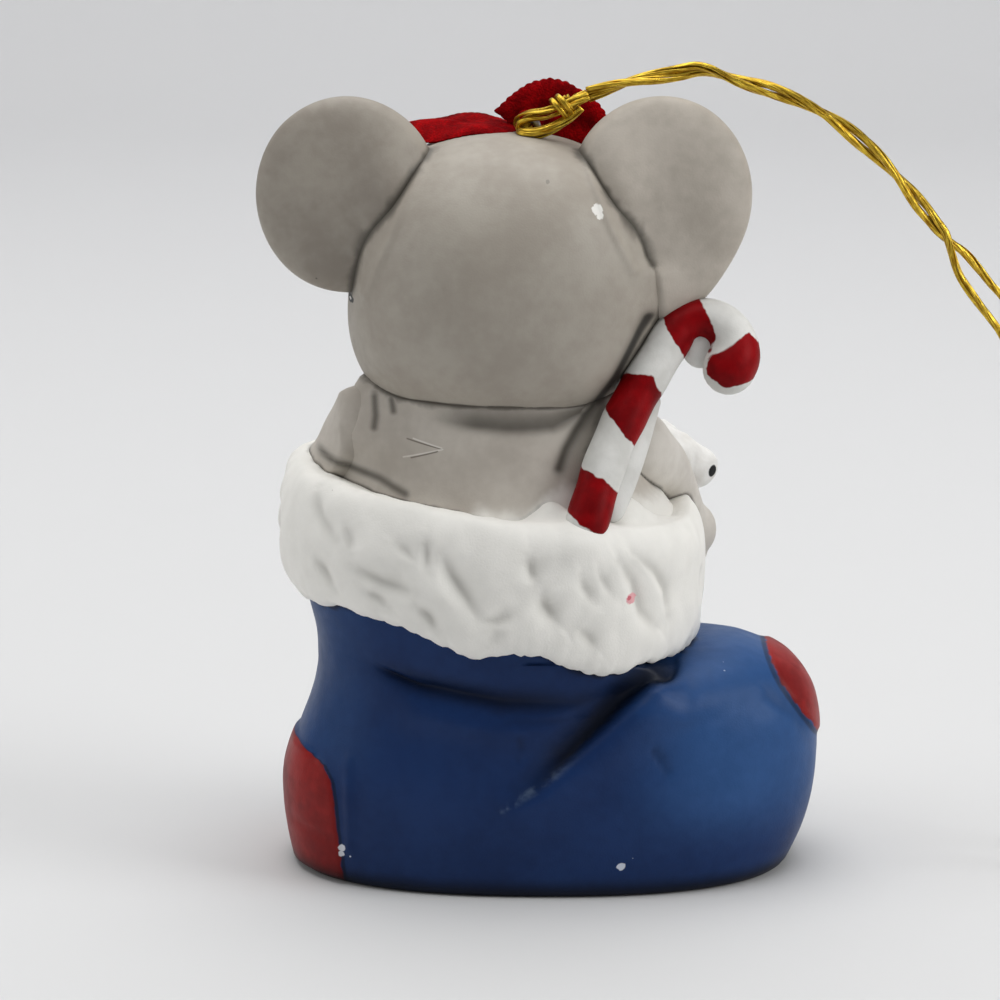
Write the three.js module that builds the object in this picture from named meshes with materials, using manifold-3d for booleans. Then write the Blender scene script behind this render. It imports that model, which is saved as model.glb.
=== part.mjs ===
// Porcelain mouse bell ornament: a mouse sits in a boot, and the boot is a bell.
// Millimetres, +Z up, +X towards the boot's toe, the mouse looks along +Y.
// The origin is on the table, under the middle of the porcelain.

import * as THREE from "three";
import { mergeVertices } from "three/addons/utils/BufferGeometryUtils.js";
import Module from "manifold-3d";

const wasm = await Module();
wasm.setup();

// Porcelain wall, and the thin seam between pieces that are joined with slip
const wall = 2.6;
const seam = 0.3;

// Boot
const bootLength = 52;
const soleWidth = 31;
const soleRound = 0.8;
const soleTuck = 1.1;
const heelLevel = 8;
const ankleLevel = 20.5;
const ankleTuck = 3.3;
const ankleWidth = 28.8;
const toeLevel = 13.2;
const toeHeight = 23;
const toeLength = 12;
const toeUnder = 18;
const shaftTop = 33;
const shaftLength = 36;
const shaftWidth = 30;
const foldDepth = 1.1;
const foldWidth = 2.4;
const foldSwell = 0.45;
const patchRelief = 0.35;
const patchEdge = 0.8;
const heelPatchReach = 5.2;
const heelPatchTop = 13;
const toePatchReach = 5.6;
const toePatchBottom = 4;
const toePatchLean = 0.7;

// Fur cuff
const cuffThickness = 2.4;
const cuffHeight = 14;
const cuffDrop = 2;
const cuffTilt = 7.7;
const hemRise = 1.9;
const tuftCount = 13;
const tuftDepth = 0.8;
const tuftSlant = 0.35;
const hemWave = 0.8;
const cuffLap = 1.2;
const cuffLedge = 3.4;

// Torso
const torsoHeight = 17;
const chestLevel = 9;
const chestLength = 26.5;
const chestWidth = 21.5;
const neckLength = 18;
const neckWidth = 16;
const torsoBack = 1.2;

// Head
const headShift = 0.65;
const headWidth = 29.4;
const headDepth = 27.2;
const headHeight = 27.6;
const headFullness = 2.3;
const neckRise = 10.7;
const neckBore = 11;
const crownHole = 2.2;
const crownShift = 2.4;
const muzzleWidth = 12.6;
const muzzleHeight = 9.6;
const muzzleReach = 4.4;
const muzzleDrop = 3.6;
const muzzleSink = 0.6;
const noseSize = 2.8;
const cheekWidth = 16;
const cheekDepth = 19;
const cheekHeight = 16;
const cheekSide = 6.9;
const cheekDrop = 4.9;
const leftCheekForward = 0.5;
const rightCheekForward = 5.5;

// Ears
const earWidth = 17.2;
const earHeight = 18.6;
const earThickness = 5.4;
const earLift = 30.5;
const earSink = 6.1;
const earBack = 3.2;
const earDish = 1.6;
const earRim = 1.9;

// Arms and paws
const armThickness = 7.4;
const pawSize = 7;
const shoulderSpan = 27;
const shoulderLevel = 11.2;
const shoulderBack = 3.1;
const elbowSpan = 31.4;
const elbowLevel = 4.6;
const elbowForward = 4.2;
const elbowBow = 1.4;
const leftPawAngle = 112;
const rightPawAngle = 27;
const leftPawLift = 1.6;
const rightPawDrop = 2.6;

// Candy cane
const caneDiameter = 4.6;
const caneLength = 20;
const caneLean = 24.5;
const caneForward = 25;
const caneAngle = -68;
const caneSink = 0.3;
const caneBed = 2.6;
const hookRadius = 3.1;
const hookAngle = 190;

// Toy bear
const toyHead = 8.2;
const toyMuzzle = 4.6;
const toyBody = 11;
const toyEar = 3.4;
const toyAngle = 38;
const toyLift = 1.6;
const toyOverhang = 3.6;
const toyNoseReach = 4.3;
const toyHeadRise = 2.3;
const toyBodyDrop = 1.8;
const toyEarBack = 1.2;

// Ribbon bow
const ribbonWidth = 6.4;
const ribbonThickness = 0.6;
const ribbonPinch = 2.2;
const bowLeft = 11.6;
const bowRight = 7.4;
const bowRise = 1.1;
const ribbonCup = 0.5;

// Wire hanger and clapper
const wireDiameter = 0.7;
const upperEyeRadius = 1;
const eyeRadius = 1.7;
const ringRadius = 1.9;
const linkClearance = 0.1;
const hangerLength = 37.49;
const washerDiameter = 6;
const washerThickness = 0.8;
const washerBore = 2;
const crimpDiameter = 2.2;
const crimpLength = 2.6;
const clapperLength = 17;
const beadDiameter = 9;
const beadBore = 1.4;
const stopBall = 1.9;

// Gold cord
const cordDiameter = 0.8;
const cordTwist = 19;
const cordLay = 0.5;
const hitchLength = 5.6;
const hitchWidth = 2.6;
const hitchStrand = 0.8;

// Facets round each kind of piece
const bootSides = 48;
const cuffSides = 52;
const headSides = 28;
const torsoSides = 24;
const earSides = 20;
const limbSides = 10;
const smallSides = 12;
const wireSides = 6;
const cordSides = 8;
const cordSteps = 80;

// Places that follow from the sizes
const heelX = -bootLength / 2;
const instepX = bootLength / 2 - toeLength;
const shaftBack = heelX + cuffThickness + seam;
const shaftX = shaftBack + shaftLength / 2;
const cuffLevel = shaftTop - cuffDrop;
const cuffSlope = Math.tan(THREE.MathUtils.degToRad(cuffTilt));
const headCentre = new THREE.Vector3(shaftX + headShift, -torsoBack, shaftTop + neckRise + headHeight / 2);
const headSize = new THREE.Vector3(headWidth / 2, headDepth / 2, headHeight / 2);
const wireRadius = wireDiameter / 2;
const alongX = new THREE.Vector3(1, 0, 0);
const alongY = new THREE.Vector3(0, 1, 0);
const alongZ = new THREE.Vector3(0, 0, 1);

// General helpers

function solid(geometry) {
  const bare = new THREE.BufferGeometry();
  bare.setAttribute("position", geometry.getAttribute("position").clone());
  bare.setIndex(geometry.getIndex());
  const merged = mergeVertices(bare, 1e-5);
  const vertProperties = new Float32Array(merged.getAttribute("position").array);
  const triVerts = new Uint32Array(merged.getIndex().array);
  return new wasm.Manifold(new wasm.Mesh({ numProp: 3, vertProperties, triVerts }));
}

function geometryOf(body) {
  const mesh = body.getMesh();
  const geometry = new THREE.BufferGeometry();
  geometry.setAttribute("position", new THREE.BufferAttribute(mesh.vertProperties, 3));
  geometry.setIndex(new THREE.BufferAttribute(mesh.triVerts, 1));
  geometry.computeVertexNormals();
  return geometry;
}

// A closed skin over rings of points: joined to itself like a tyre, or with its two ends capped.
function skin(rings, joined) {
  const around = rings[0].length;
  const points = rings.flat();
  const faces = [];
  const bands = joined ? rings.length : rings.length - 1;
  for (let i = 0; i < bands; i += 1) {
    const here = i * around;
    const next = ((i + 1) % rings.length) * around;
    for (let j = 0; j < around; j += 1) {
      const k = (j + 1) % around;
      faces.push(here + j, here + k, next + k, here + j, next + k, next + j);
    }
  }
  if (!joined) {
    const first = points.length;
    points.push(middleOf(rings[0]), middleOf(rings[rings.length - 1]));
    const top = (rings.length - 1) * around;
    for (let j = 0; j < around; j += 1) {
      const k = (j + 1) % around;
      faces.push(first, k, j, first + 1, top + j, top + k);
    }
  }
  const geometry = new THREE.BufferGeometry().setFromPoints(points);
  geometry.setIndex(faces);
  return outward(geometry);
}

function middleOf(ring) {
  const middle = new THREE.Vector3();
  ring.forEach((point) => middle.add(point));
  return middle.divideScalar(ring.length);
}

// Turns every face over if the skin is inside out.
function outward(geometry) {
  const index = geometry.getIndex().array;
  const position = geometry.getAttribute("position");
  const corner = [new THREE.Vector3(), new THREE.Vector3(), new THREE.Vector3()];
  let volume = 0;
  for (let i = 0; i < index.length; i += 3) {
    corner.forEach((point, k) => point.fromBufferAttribute(position, index[i + k]));
    volume += corner[0].dot(corner[1].cross(corner[2]));
  }
  if (volume < 0) {
    for (let i = 0; i < index.length; i += 3) {
      [index[i], index[i + 1]] = [index[i + 1], index[i]];
    }
  }
  return geometry;
}

function smooth(share) {
  const s = THREE.MathUtils.clamp(share, 0, 1);
  return s * s * (3 - 2 * s);
}

function signedPower(value, power) {
  return Math.sign(value) * Math.abs(value) ** power;
}

// An egg or ball of the given half sizes; above a fullness of 2 it is squarer than a plain egg.
function ball(centre, half, sides, fullness = 2) {
  const geometry = new THREE.SphereGeometry(1, sides, Math.round(sides * 0.6));
  geometry.rotateX(Math.PI / 2);
  const places = geometry.attributes.position;
  const place = new THREE.Vector3();
  for (let i = 0; i < places.count; i += 1) {
    place.fromBufferAttribute(places, i);
    const sum = place.toArray().reduce((total, value) => total + Math.abs(value) ** fullness, 0);
    place.divideScalar(sum ** (1 / fullness));
    places.setXYZ(i, place.x, place.y, place.z);
  }
  geometry.scale(half.x, half.y, half.z);
  geometry.translate(centre.x, centre.y, centre.z);
  return solid(geometry);
}

// The main body that a cut leaves, without crumbs
function mainBody(body) {
  return body.decompose().reduce((largest, other) => (largest.volume() > other.volume() ? largest : other));
}

// A round limb along a curve, with a radius at each share of its length and domed ends.
function limb(curve, radiusAt, steps, sides) {
  const frames = curve.computeFrenetFrames(steps, false);
  const rings = [];
  const domeSteps = 2;
  const domeBend = Math.PI / 2 / (domeSteps + 0.6);
  const ringAt = (share, index, scale, push) => {
    const radius = radiusAt(share);
    const centre = curve.getPointAt(share).addScaledVector(frames.tangents[index], push * radius);
    return Array.from({ length: sides }, (_, j) => {
      const angle = (j / sides) * Math.PI * 2;
      return centre
        .clone()
        .addScaledVector(frames.normals[index], Math.cos(angle) * radius * scale)
        .addScaledVector(frames.binormals[index], Math.sin(angle) * radius * scale);
    });
  };
  for (let i = domeSteps; i > 0; i -= 1) {
    const bend = i * domeBend;
    rings.push(ringAt(0, 0, Math.cos(bend), -Math.sin(bend)));
  }
  for (let i = 0; i <= steps; i += 1) {
    rings.push(ringAt(i / steps, i, 1, 0));
  }
  for (let i = 1; i <= domeSteps; i += 1) {
    const bend = i * domeBend;
    rings.push(ringAt(1, steps, Math.cos(bend), Math.sin(bend)));
  }
  return solid(skin(rings, false));
}

// A round wire bent into a ring or long loop, in the plane of two directions
function loopOf(centre, first, second, halfLength, halfWidth, radius) {
  const steps = 16;
  const square = new THREE.Vector3().crossVectors(first, second);
  const rings = Array.from({ length: steps }, (_, i) => {
    const turn = (i / steps) * Math.PI * 2;
    const out = first.clone().multiplyScalar(halfWidth * Math.cos(turn));
    out.addScaledVector(second, halfLength * Math.sin(turn)).normalize();
    const point = centre.clone().addScaledVector(first, halfLength * Math.cos(turn));
    point.addScaledVector(second, halfWidth * Math.sin(turn));
    return Array.from({ length: wireSides }, (_unused, j) => {
      const angle = (j / wireSides) * Math.PI * 2;
      return point
        .clone()
        .addScaledVector(out, radius * Math.cos(angle))
        .addScaledVector(square, radius * Math.sin(angle));
    });
  });
  return solid(skin(rings, true));
}

function wireEye(z, radius, across) {
  return loopOf(new THREE.Vector3(hangX, hangY, z), across, alongZ, radius, radius, wireRadius);
}

function rod(x, y, bottom, top, radius, sides = wireSides) {
  const geometry = new THREE.CylinderGeometry(radius, radius, top - bottom, sides);
  geometry.rotateX(Math.PI / 2);
  geometry.translate(x, y, (top + bottom) / 2);
  return solid(geometry);
}

function turned(outline, sides = 24) {
  const points = outline.map(([radius, height]) => new THREE.Vector2(radius, height));
  const geometry = new THREE.LatheGeometry(points, sides);
  geometry.rotateX(Math.PI / 2);
  const bare = new THREE.BufferGeometry();
  bare.setAttribute("position", geometry.getAttribute("position"));
  bare.setIndex(geometry.getIndex());
  return outward(mergeVertices(bare, 1e-5));
}

// The boot's outer face moved inwards by an inset

function bootBack(z) {
  const ankleX = heelX + ankleTuck;
  if (z < heelLevel) {
    return heelX + soleTuck * (1 - z / heelLevel) ** 2;
  }
  if (z < ankleLevel) {
    return heelX + ankleTuck * smooth((z - heelLevel) / (ankleLevel - heelLevel));
  }
  return ankleX + (shaftBack - ankleX) * smooth((z - ankleLevel) / (shaftTop - ankleLevel));
}

function bootFront(z, inset) {
  const shaftFront = shaftX + shaftLength / 2;
  const lift = toeHeight - toeLevel - inset;
  const rise = z > toeLevel ? (z - toeLevel) / lift : (toeLevel - z) / toeUnder;
  if (rise >= 1) {
    return shaftFront - inset;
  }
  return instepX + (toeLength - inset) * Math.sqrt(1 - rise * rise);
}

function bootHalfWidth(z) {
  if (z < heelLevel) {
    return soleWidth / 2 - soleTuck * (1 - z / heelLevel) ** 2;
  }
  if (z < ankleLevel) {
    const share = smooth((z - heelLevel) / (ankleLevel - heelLevel));
    return THREE.MathUtils.lerp(soleWidth, ankleWidth, share) / 2;
  }
  const share = smooth((z - ankleLevel) / (shaftTop - ankleLevel));
  return THREE.MathUtils.lerp(ankleWidth, shaftWidth, share) / 2;
}

// One level section of the boot. Angle 0 points to the toe.
function bootPoint(angle, z, inset) {
  const squareness = 2 / 2.35;
  const back = bootBack(z) + inset;
  const front = bootFront(z, inset);
  const middle = shaftX * smooth(z / shaftTop);
  const across = signedPower(Math.cos(angle), squareness);
  const x = middle + across * (across > 0 ? front - middle : middle - back);
  const y = (bootHalfWidth(z) - inset) * signedPower(Math.sin(angle), squareness);
  return new THREE.Vector3(x, y, z);
}

// Depth of the pressed folds at a point on the boot's side, negative where the clay swells beside them.
function foldAt(x, z) {
  const instepTop = [instepX - seam, toeHeight - foldWidth / 2];
  const soleMiddle = [instepX / -4, heelLevel * 0.8];
  const ankleBack = [-instepX, ankleLevel - foldWidth];
  const ankleMiddle = [instepX / 5, toeLevel + foldWidth];
  const folds = [
    { from: instepTop, to: soleMiddle, deep: foldDepth },
    { from: ankleBack, to: ankleMiddle, deep: foldDepth / 2 },
  ];
  let depth = 0;
  folds.forEach(({ from, to, deep }) => {
    const start = new THREE.Vector2(...from);
    const along = new THREE.Vector2(...to).sub(start);
    const point = new THREE.Vector2(x, z).sub(start);
    const share = THREE.MathUtils.clamp(point.dot(along) / along.lengthSq(), 0, 1);
    const away = point.addScaledVector(along, -share);
    const side = Math.sign(away.x * along.y - away.y * along.x);
    const near = away.length() / foldWidth;
    const fade = deep * (1 - 0.75 * share);
    depth += fade * Math.exp(-near * near);
    if (side < 0) {
      depth -= foldSwell * fade * Math.exp(-((near - 1.7) ** 2));
    }
  });
  return depth;
}

// The heel and toe caps stand a little proud of the boot.
function capAt(x, z) {
  const heelEdge = heelX + heelPatchReach * Math.sqrt(Math.max(0, 1 - (z / heelPatchTop) ** 2));
  const heel = z < heelPatchTop ? smooth((heelEdge - x) / patchEdge + 0.5) : 0;
  const toeEdge = bootLength / 2 - toePatchReach + Math.max(0, toeLevel - z) * toePatchLean;
  const toe = z > toePatchBottom ? smooth((x - toeEdge) / patchEdge + 0.5) : 0;
  return patchRelief * Math.max(heel, toe);
}

function bootRing(z, inset, sculpted) {
  return Array.from({ length: bootSides }, (_, j) => {
    const angle = (j / bootSides) * Math.PI * 2;
    const point = bootPoint(angle, z, inset);
    if (sculpted) {
      const sideways = Math.abs(Math.sin(angle)) ** 1.5;
      const out = capAt(point.x, z) - foldAt(point.x, z) * sideways;
      return bootPoint(angle, z, inset - Math.min(out, patchRelief * 2));
    }
    return point;
  });
}

function bootLevels(top, inset) {
  const foot = toeHeight - inset;
  const shares = [0.08, 0.2, 0.33, 0.45, 0.55, 0.65, 0.75, 0.83, 0.9, 0.95, 0.985];
  const levels = shares.map((share) => share * foot);
  return [...levels, foot + seam, foot + (top - foot) * 0.4, foot + (top - foot) * 0.7, top];
}

// The boot's outer shape as one block, used to cut what sits against it
function bootBlock(inset) {
  const rings = [bootRing(-seam, inset, false)];
  bootLevels(shaftTop + seam, inset).forEach((z) => rings.push(bootRing(z, inset, false)));
  return solid(skin(rings, false));
}

function bootBell() {
  const outer = [bootRing(0, soleRound, false), bootRing(soleRound * 0.4, soleRound * 0.25, false)];
  bootLevels(shaftTop, 0).forEach((z) => outer.push(bootRing(z, 0, true)));
  const innerLevels = [0, ...bootLevels(shaftTop, wall).filter((_, i) => i % 2 === 0)];
  const inner = innerLevels.map((z) => bootRing(z, wall, false));
  return solid(skin([...outer, ...inner.reverse()], true));
}

// Fur cuff: a rolled band round the boot's mouth, lower towards the toe

function cuffMiddle(x) {
  return cuffLevel - cuffSlope * (x - shaftX);
}

// Outward swell of the fur: slanting locks with a deep parting between them
function tuftAt(angle, height) {
  const lock = Math.sin(tuftCount * (angle + tuftSlant * height) + 1.3 * Math.sin(3 * angle));
  const small = Math.sin(2 * tuftCount * (angle - tuftSlant * 0.6 * height) + 2.1);
  return tuftDepth * (0.7 * Math.abs(lock) + 0.3 * small - 0.45);
}

function cuffOutline(angle, grow) {
  const steps = 9;
  const inner = bootPoint(angle, shaftTop, 0);
  const outwards = new THREE.Vector3(inner.x - shaftX, inner.y, 0).normalize();
  const middle = cuffMiddle(inner.x);
  const heelward = (1 - Math.cos(angle)) / 2;
  const waves = Math.sin(tuftCount * angle + 0.7) + 0.5 * Math.sin(2 * tuftCount * angle + 2);
  const hem = hemRise * heelward * heelward + hemWave * waves;
  const points = [];
  for (let i = 0; i <= steps; i += 1) {
    const bend = (i / steps) * Math.PI - Math.PI / 2;
    const height = signedPower(Math.sin(bend), 0.85);
    const bulge = Math.cos(bend) ** 0.6;
    const relief = tuftAt(angle, height) * Math.sin((i / steps) * Math.PI);
    const reach = (cuffThickness + relief) * bulge + grow;
    const lift = height * (cuffHeight / 2 + grow) + (height < 0 ? hem * height * height : 0);
    points.push(inner.clone().addScaledVector(outwards, reach + seam).setZ(middle + lift));
  }
  const inward = (depth, z) => points.push(inner.clone().addScaledVector(outwards, seam - depth).setZ(z));
  const top = points[steps].z;
  const bottom = points[0].z;
  inward(cuffLedge, top - cuffLap / 2);
  inward(cuffLedge, top - cuffLap * 2);
  inward(cuffLap, top - cuffLap * 2.5);
  inward(cuffLap, bottom + cuffLap / 2);
  return points;
}

function cuffBlock(grow) {
  const rings = Array.from({ length: cuffSides }, (_, i) => cuffOutline((i / cuffSides) * Math.PI * 2, grow));
  return solid(skin(rings, true));
}

// A point on the cuff's top edge, at a turn in degrees from the toe
function cuffTop(turn) {
  const angle = THREE.MathUtils.degToRad(turn);
  const edge = bootPoint(angle, shaftTop, -cuffThickness / 2);
  return edge.setZ(cuffMiddle(edge.x) + cuffHeight / 2);
}

// Torso: an open-ended egg that stands on the boot's rim and takes the head in its top

function torsoRing(share, inset) {
  const z = shaftTop + seam + share * torsoHeight;
  const chest = chestLevel / torsoHeight;
  const back = -torsoBack * smooth(share / chest);
  let length = chestLength;
  let width = chestWidth;
  if (share < chest) {
    const draw = smooth(share / chest) ** 0.7;
    length = shaftLength + (chestLength - shaftLength) * draw;
    width = shaftWidth + (chestWidth - shaftWidth) * draw;
  } else {
    const draw = ((share - chest) / (1 - chest)) ** 2;
    length = chestLength + (neckLength - chestLength) * draw;
    width = chestWidth + (neckWidth - chestWidth) * draw;
  }
  return Array.from({ length: torsoSides }, (_, j) => {
    const angle = (j / torsoSides) * Math.PI * 2;
    const x = shaftX + (length / 2 - inset) * Math.cos(angle);
    const y = back + (width / 2 - inset) * Math.sin(angle);
    return new THREE.Vector3(x, y, z);
  });
}

function torsoRings(inset, steps) {
  return Array.from({ length: steps + 1 }, (_, i) => torsoRing(i / steps, inset));
}

function torsoBlock(grow) {
  return solid(skin(torsoRings(-grow, 8), false));
}

function torsoShell() {
  return solid(skin([...torsoRings(0, 8), ...torsoRings(wall, 4).reverse()], true));
}

// Head, with a muzzle on its front

function headBlock(grow) {
  const skull = ball(headCentre, headSize.clone().addScalar(grow), headSides, headFullness);
  const muzzleHalf = new THREE.Vector3(muzzleWidth / 2, muzzleReach, muzzleHeight / 2).addScalar(grow);
  const muzzleCentre = headCentre.clone();
  muzzleCentre.y += headSize.y - muzzleSink;
  muzzleCentre.z -= muzzleDrop;
  const muzzle = ball(muzzleCentre, muzzleHalf, earSides);
  const noseCentre = muzzleCentre.clone();
  noseCentre.y += muzzleReach * 0.82;
  noseCentre.z += muzzleHeight * 0.3;
  const noseHalf = new THREE.Vector3(noseSize * 0.6, noseSize / 2, noseSize / 2).addScalar(grow);
  const cheekHalf = new THREE.Vector3(cheekWidth / 2, cheekDepth / 2, cheekHeight / 2).addScalar(grow);
  const cheek = (side, forward) => {
    const centre = new THREE.Vector3(side * cheekSide, forward, -cheekDrop).add(headCentre);
    return ball(centre, cheekHalf, earSides);
  };
  const face = muzzle.add(ball(noseCentre, noseHalf, limbSides));
  return skull.add(cheek(-1, leftCheekForward)).add(cheek(1, rightCheekForward)).add(face);
}

function headShell() {
  const hollow = ball(headCentre, headSize.clone().subScalar(wall), earSides);
  const neck = rod(headCentre.x, headCentre.y, shaftTop + neckRise - 1, headCentre.z, neckBore / 2, earSides);
  const crown = rod(hangX, hangY, headCentre.z, headCentre.z + headHeight, crownHole / 2, smallSides);
  return headBlock(0).subtract(hollow).subtract(neck).subtract(crown);
}

// Ears: round discs, dished in front, set into the head's sides

function earCentre(side) {
  const lift = THREE.MathUtils.degToRad(earLift);
  const away = new THREE.Vector2(Math.cos(lift), Math.sin(lift));
  const reach = (a, b) => 1 / Math.hypot(away.x / a, away.y / b);
  const far = reach(headWidth / 2, headHeight / 2) + reach(earWidth / 2, earHeight / 2) - earSink;
  return headCentre.clone().add(new THREE.Vector3(side * far * away.x, -earBack, far * away.y));
}

function earBlock(side, grow) {
  const half = new THREE.Vector3(earWidth / 2, earThickness / 2, earHeight / 2).addScalar(grow);
  return ball(earCentre(side), half, earSides);
}

function earPiece(side) {
  const dishHalf = new THREE.Vector3(earWidth / 2 - earRim, earDish * 2, earHeight / 2 - earRim);
  const dishCentre = earCentre(side);
  dishCentre.y += earThickness / 2 + earDish;
  const dish = ball(dishCentre, dishHalf, earSides);
  return mainBody(earBlock(side, 0).subtract(dish).subtract(headBlock(seam)));
}

// What the arms, cane and toy lie against, grown by the seam
function sittingMouse() {
  return [torsoBlock(seam), headBlock(seam), bootBlock(-seam)];
}

// Arms: from the shoulder round the elbow to a paw on the cuff

function armBlock(side, grow) {
  const at = (span, y, level) => new THREE.Vector3(shaftX + (side * span) / 2, y, shaftTop + level);
  const shoulder = at(shoulderSpan, -shoulderBack, shoulderLevel);
  const elbow = at(elbowSpan, elbowForward, elbowLevel);
  const upper = shoulder.clone().lerp(elbow, 0.55);
  upper.y -= elbowBow;
  const paw = cuffTop(side < 0 ? leftPawAngle : rightPawAngle);
  paw.z += side < 0 ? leftPawLift : -rightPawDrop;
  const curve = new THREE.CatmullRomCurve3([shoulder, upper, elbow, elbow.clone().lerp(paw, 0.6), paw]);
  const radiusAt = (share) => (armThickness / 2) * (1 - 0.22 * share) + grow;
  const palm = new THREE.Vector3(pawSize / 2, pawSize * 0.42, pawSize * 0.46).addScalar(grow);
  return limb(curve, radiusAt, 9, limbSides).add(ball(paw, palm, limbSides));
}

function armPiece(side) {
  return mainBody(sittingMouse().reduce((arm, other) => arm.subtract(other), armBlock(side, 0)));
}

// Candy cane: a straight stick with a tight crook, leaning on the right arm

function caneBlock(grow) {
  const foot = cuffTop(caneAngle);
  foot.z -= caneSink;
  foot.y += cuffThickness / 2 + caneDiameter / 2 - caneBed;
  const lean = THREE.MathUtils.degToRad(caneLean);
  const forward = THREE.MathUtils.degToRad(caneForward);
  const rise = Math.cos(lean) * Math.cos(forward);
  const axis = new THREE.Vector3(Math.sin(lean), Math.sin(forward), rise).normalize();
  const aside = new THREE.Vector3(1, 0, 0).addScaledVector(axis, -axis.x).normalize();
  const points = [];
  for (let i = 0; i < 6; i += 1) {
    points.push(foot.clone().addScaledVector(axis, (caneLength * i) / 6));
  }
  const centre = foot.clone().addScaledVector(axis, caneLength).addScaledVector(aside, hookRadius);
  for (let i = 0; i <= 8; i += 1) {
    const bend = THREE.MathUtils.degToRad((hookAngle * i) / 8);
    const point = centre.clone().addScaledVector(aside, -hookRadius * Math.cos(bend));
    points.push(point.addScaledVector(axis, hookRadius * Math.sin(bend)));
  }
  const curve = new THREE.CatmullRomCurve3(points);
  return limb(curve, () => caneDiameter / 2 + grow, 22, limbSides);
}

function canePiece() {
  const neighbours = [...sittingMouse(), armBlock(1, seam), earBlock(1, seam)];
  return mainBody(neighbours.reduce((cane, other) => cane.subtract(other), caneBlock(0)));
}

// Toy bear, tucked in the crook of the right arm with its nose over the cuff

function toyBlock() {
  const turn = THREE.MathUtils.degToRad(toyAngle * 0.35);
  const ahead = new THREE.Vector3(Math.cos(turn), Math.sin(turn), 0);
  const nose = cuffTop(toyAngle).addScaledVector(ahead, toyOverhang);
  nose.z += toyLift;
  const head = nose.clone().addScaledVector(ahead, -toyNoseReach);
  head.z += toyHeadRise;
  const muzzleHalf = new THREE.Vector3(1.2, 1, 1).multiplyScalar(toyMuzzle / 2);
  const headHalf = new THREE.Vector3(1, 1, 0.94).multiplyScalar(toyHead / 2);
  const body = head.clone().addScaledVector(ahead, -toyBody * 0.62);
  body.z -= toyBodyDrop;
  const bodyHalf = new THREE.Vector3(toyBody * 0.6, toyBody * 0.42, toyBody * 0.5);
  let toy = ball(head, headHalf, smallSides);
  toy = toy.add(ball(nose, muzzleHalf, smallSides)).add(ball(body, bodyHalf, smallSides));
  [-1, 1].forEach((side) => {
    const ear = head.clone().addScaledVector(ahead, -toyEarBack);
    ear.add(new THREE.Vector3(-ahead.y, ahead.x, 0).multiplyScalar(side * toyHead * 0.34));
    ear.z += toyHead * 0.43;
    toy = toy.add(ball(ear, new THREE.Vector3(1, 1, 1).multiplyScalar(toyEar / 2), wireSides + 2));
  });
  return toy;
}

function toyPiece() {
  const neighbours = [...sittingMouse(), cuffBlock(seam), armBlock(1, seam), armBlock(-1, seam)];
  return mainBody(neighbours.reduce((toy, other) => toy.subtract(other), toyBlock()));
}

// The cuff gives way to everything that is set into it
function furCuff() {
  const inside = [bootBlock(-seam), torsoBlock(seam), armBlock(-1, seam), armBlock(1, seam), caneBlock(seam)];
  return mainBody(inside.reduce((cuff, other) => cuff.subtract(other), cuffBlock(0)));
}

// Wire hanger: an eye above the crown, a straight shank and an eye below

const hangX = headCentre.x + crownShift;
const hangY = headCentre.y;
const crownTop = crownHeight(0, headFullness);
const crownUnder = crownHeight(wall, 2);
const upperEyeZ = crownTop + upperEyeRadius + wireRadius + linkClearance;
const lowerEyeZ = crownTop - hangerLength;

// Height of the skull's outer or inner face where the wire goes through
function crownHeight(inset, fullness) {
  const share = crownShift / (headSize.x - inset);
  return headCentre.z + (headSize.z - inset) * (1 - share ** fullness) ** (1 / fullness);
}

function hangerWire() {
  const shank = rod(hangX, hangY, lowerEyeZ + eyeRadius, upperEyeZ - upperEyeRadius, wireRadius);
  const upper = wireEye(upperEyeZ, upperEyeRadius, alongX);
  const lower = wireEye(lowerEyeZ, eyeRadius, alongX);
  return shank.add(upper).add(lower);
}

// The first swing is about the lower eye's wire, the second about the ring's lower wire.
const firstSwingZ = lowerEyeZ - eyeRadius;
const ringTopZ = firstSwingZ + wireDiameter + linkClearance;
const ringZ = ringTopZ - ringRadius;
const secondSwingZ = ringZ - ringRadius;
const clapperEyeZ = secondSwingZ + wireDiameter + linkClearance - eyeRadius;
const beadZ = clapperEyeZ - eyeRadius - clapperLength;

function swingRing() {
  return wireEye(ringZ, ringRadius, alongY);
}

function clapperWire() {
  const eye = wireEye(clapperEyeZ, eyeRadius, alongX);
  const end = beadZ - beadDiameter / 2 - linkClearance;
  const shank = rod(hangX, hangY, end - stopBall * 0.4, clapperEyeZ - eyeRadius, wireRadius);
  const stopHalf = new THREE.Vector3(1, 1, 1).multiplyScalar(stopBall / 2);
  const stop = ball(new THREE.Vector3(hangX, hangY, end - stopBall / 2), stopHalf, wireSides + 2);
  return eye.add(shank).add(stop);
}

function clapperBead() {
  const half = new THREE.Vector3(1, 1, 1).multiplyScalar(beadDiameter / 2);
  const bead = ball(new THREE.Vector3(hangX, hangY, beadZ), half, earSides - 4);
  const bore = rod(hangX, hangY, beadZ - beadDiameter, beadZ + beadDiameter, beadBore / 2, wireSides + 2);
  return bead.subtract(bore);
}

// Washer under the crown, turned to lie against the dome, and the crimp that holds it up
const washerTurn = Math.atan2(crownShift * (headSize.z - wall), (headSize.x - wall) ** 2);
const washerZ = crownUnder - washerThickness - (washerDiameter / 2) ** 2 / headWidth - seam;

function stopWasher() {
  const outer = washerDiameter / 2;
  const bore = washerBore / 2;
  const edge = washerThickness;
  const geometry = turned([[bore, 0], [outer, 0], [outer, edge], [bore, edge], [bore, 0]]);
  geometry.rotateY(washerTurn);
  geometry.translate(hangX, hangY, washerZ);
  return solid(geometry);
}

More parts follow.
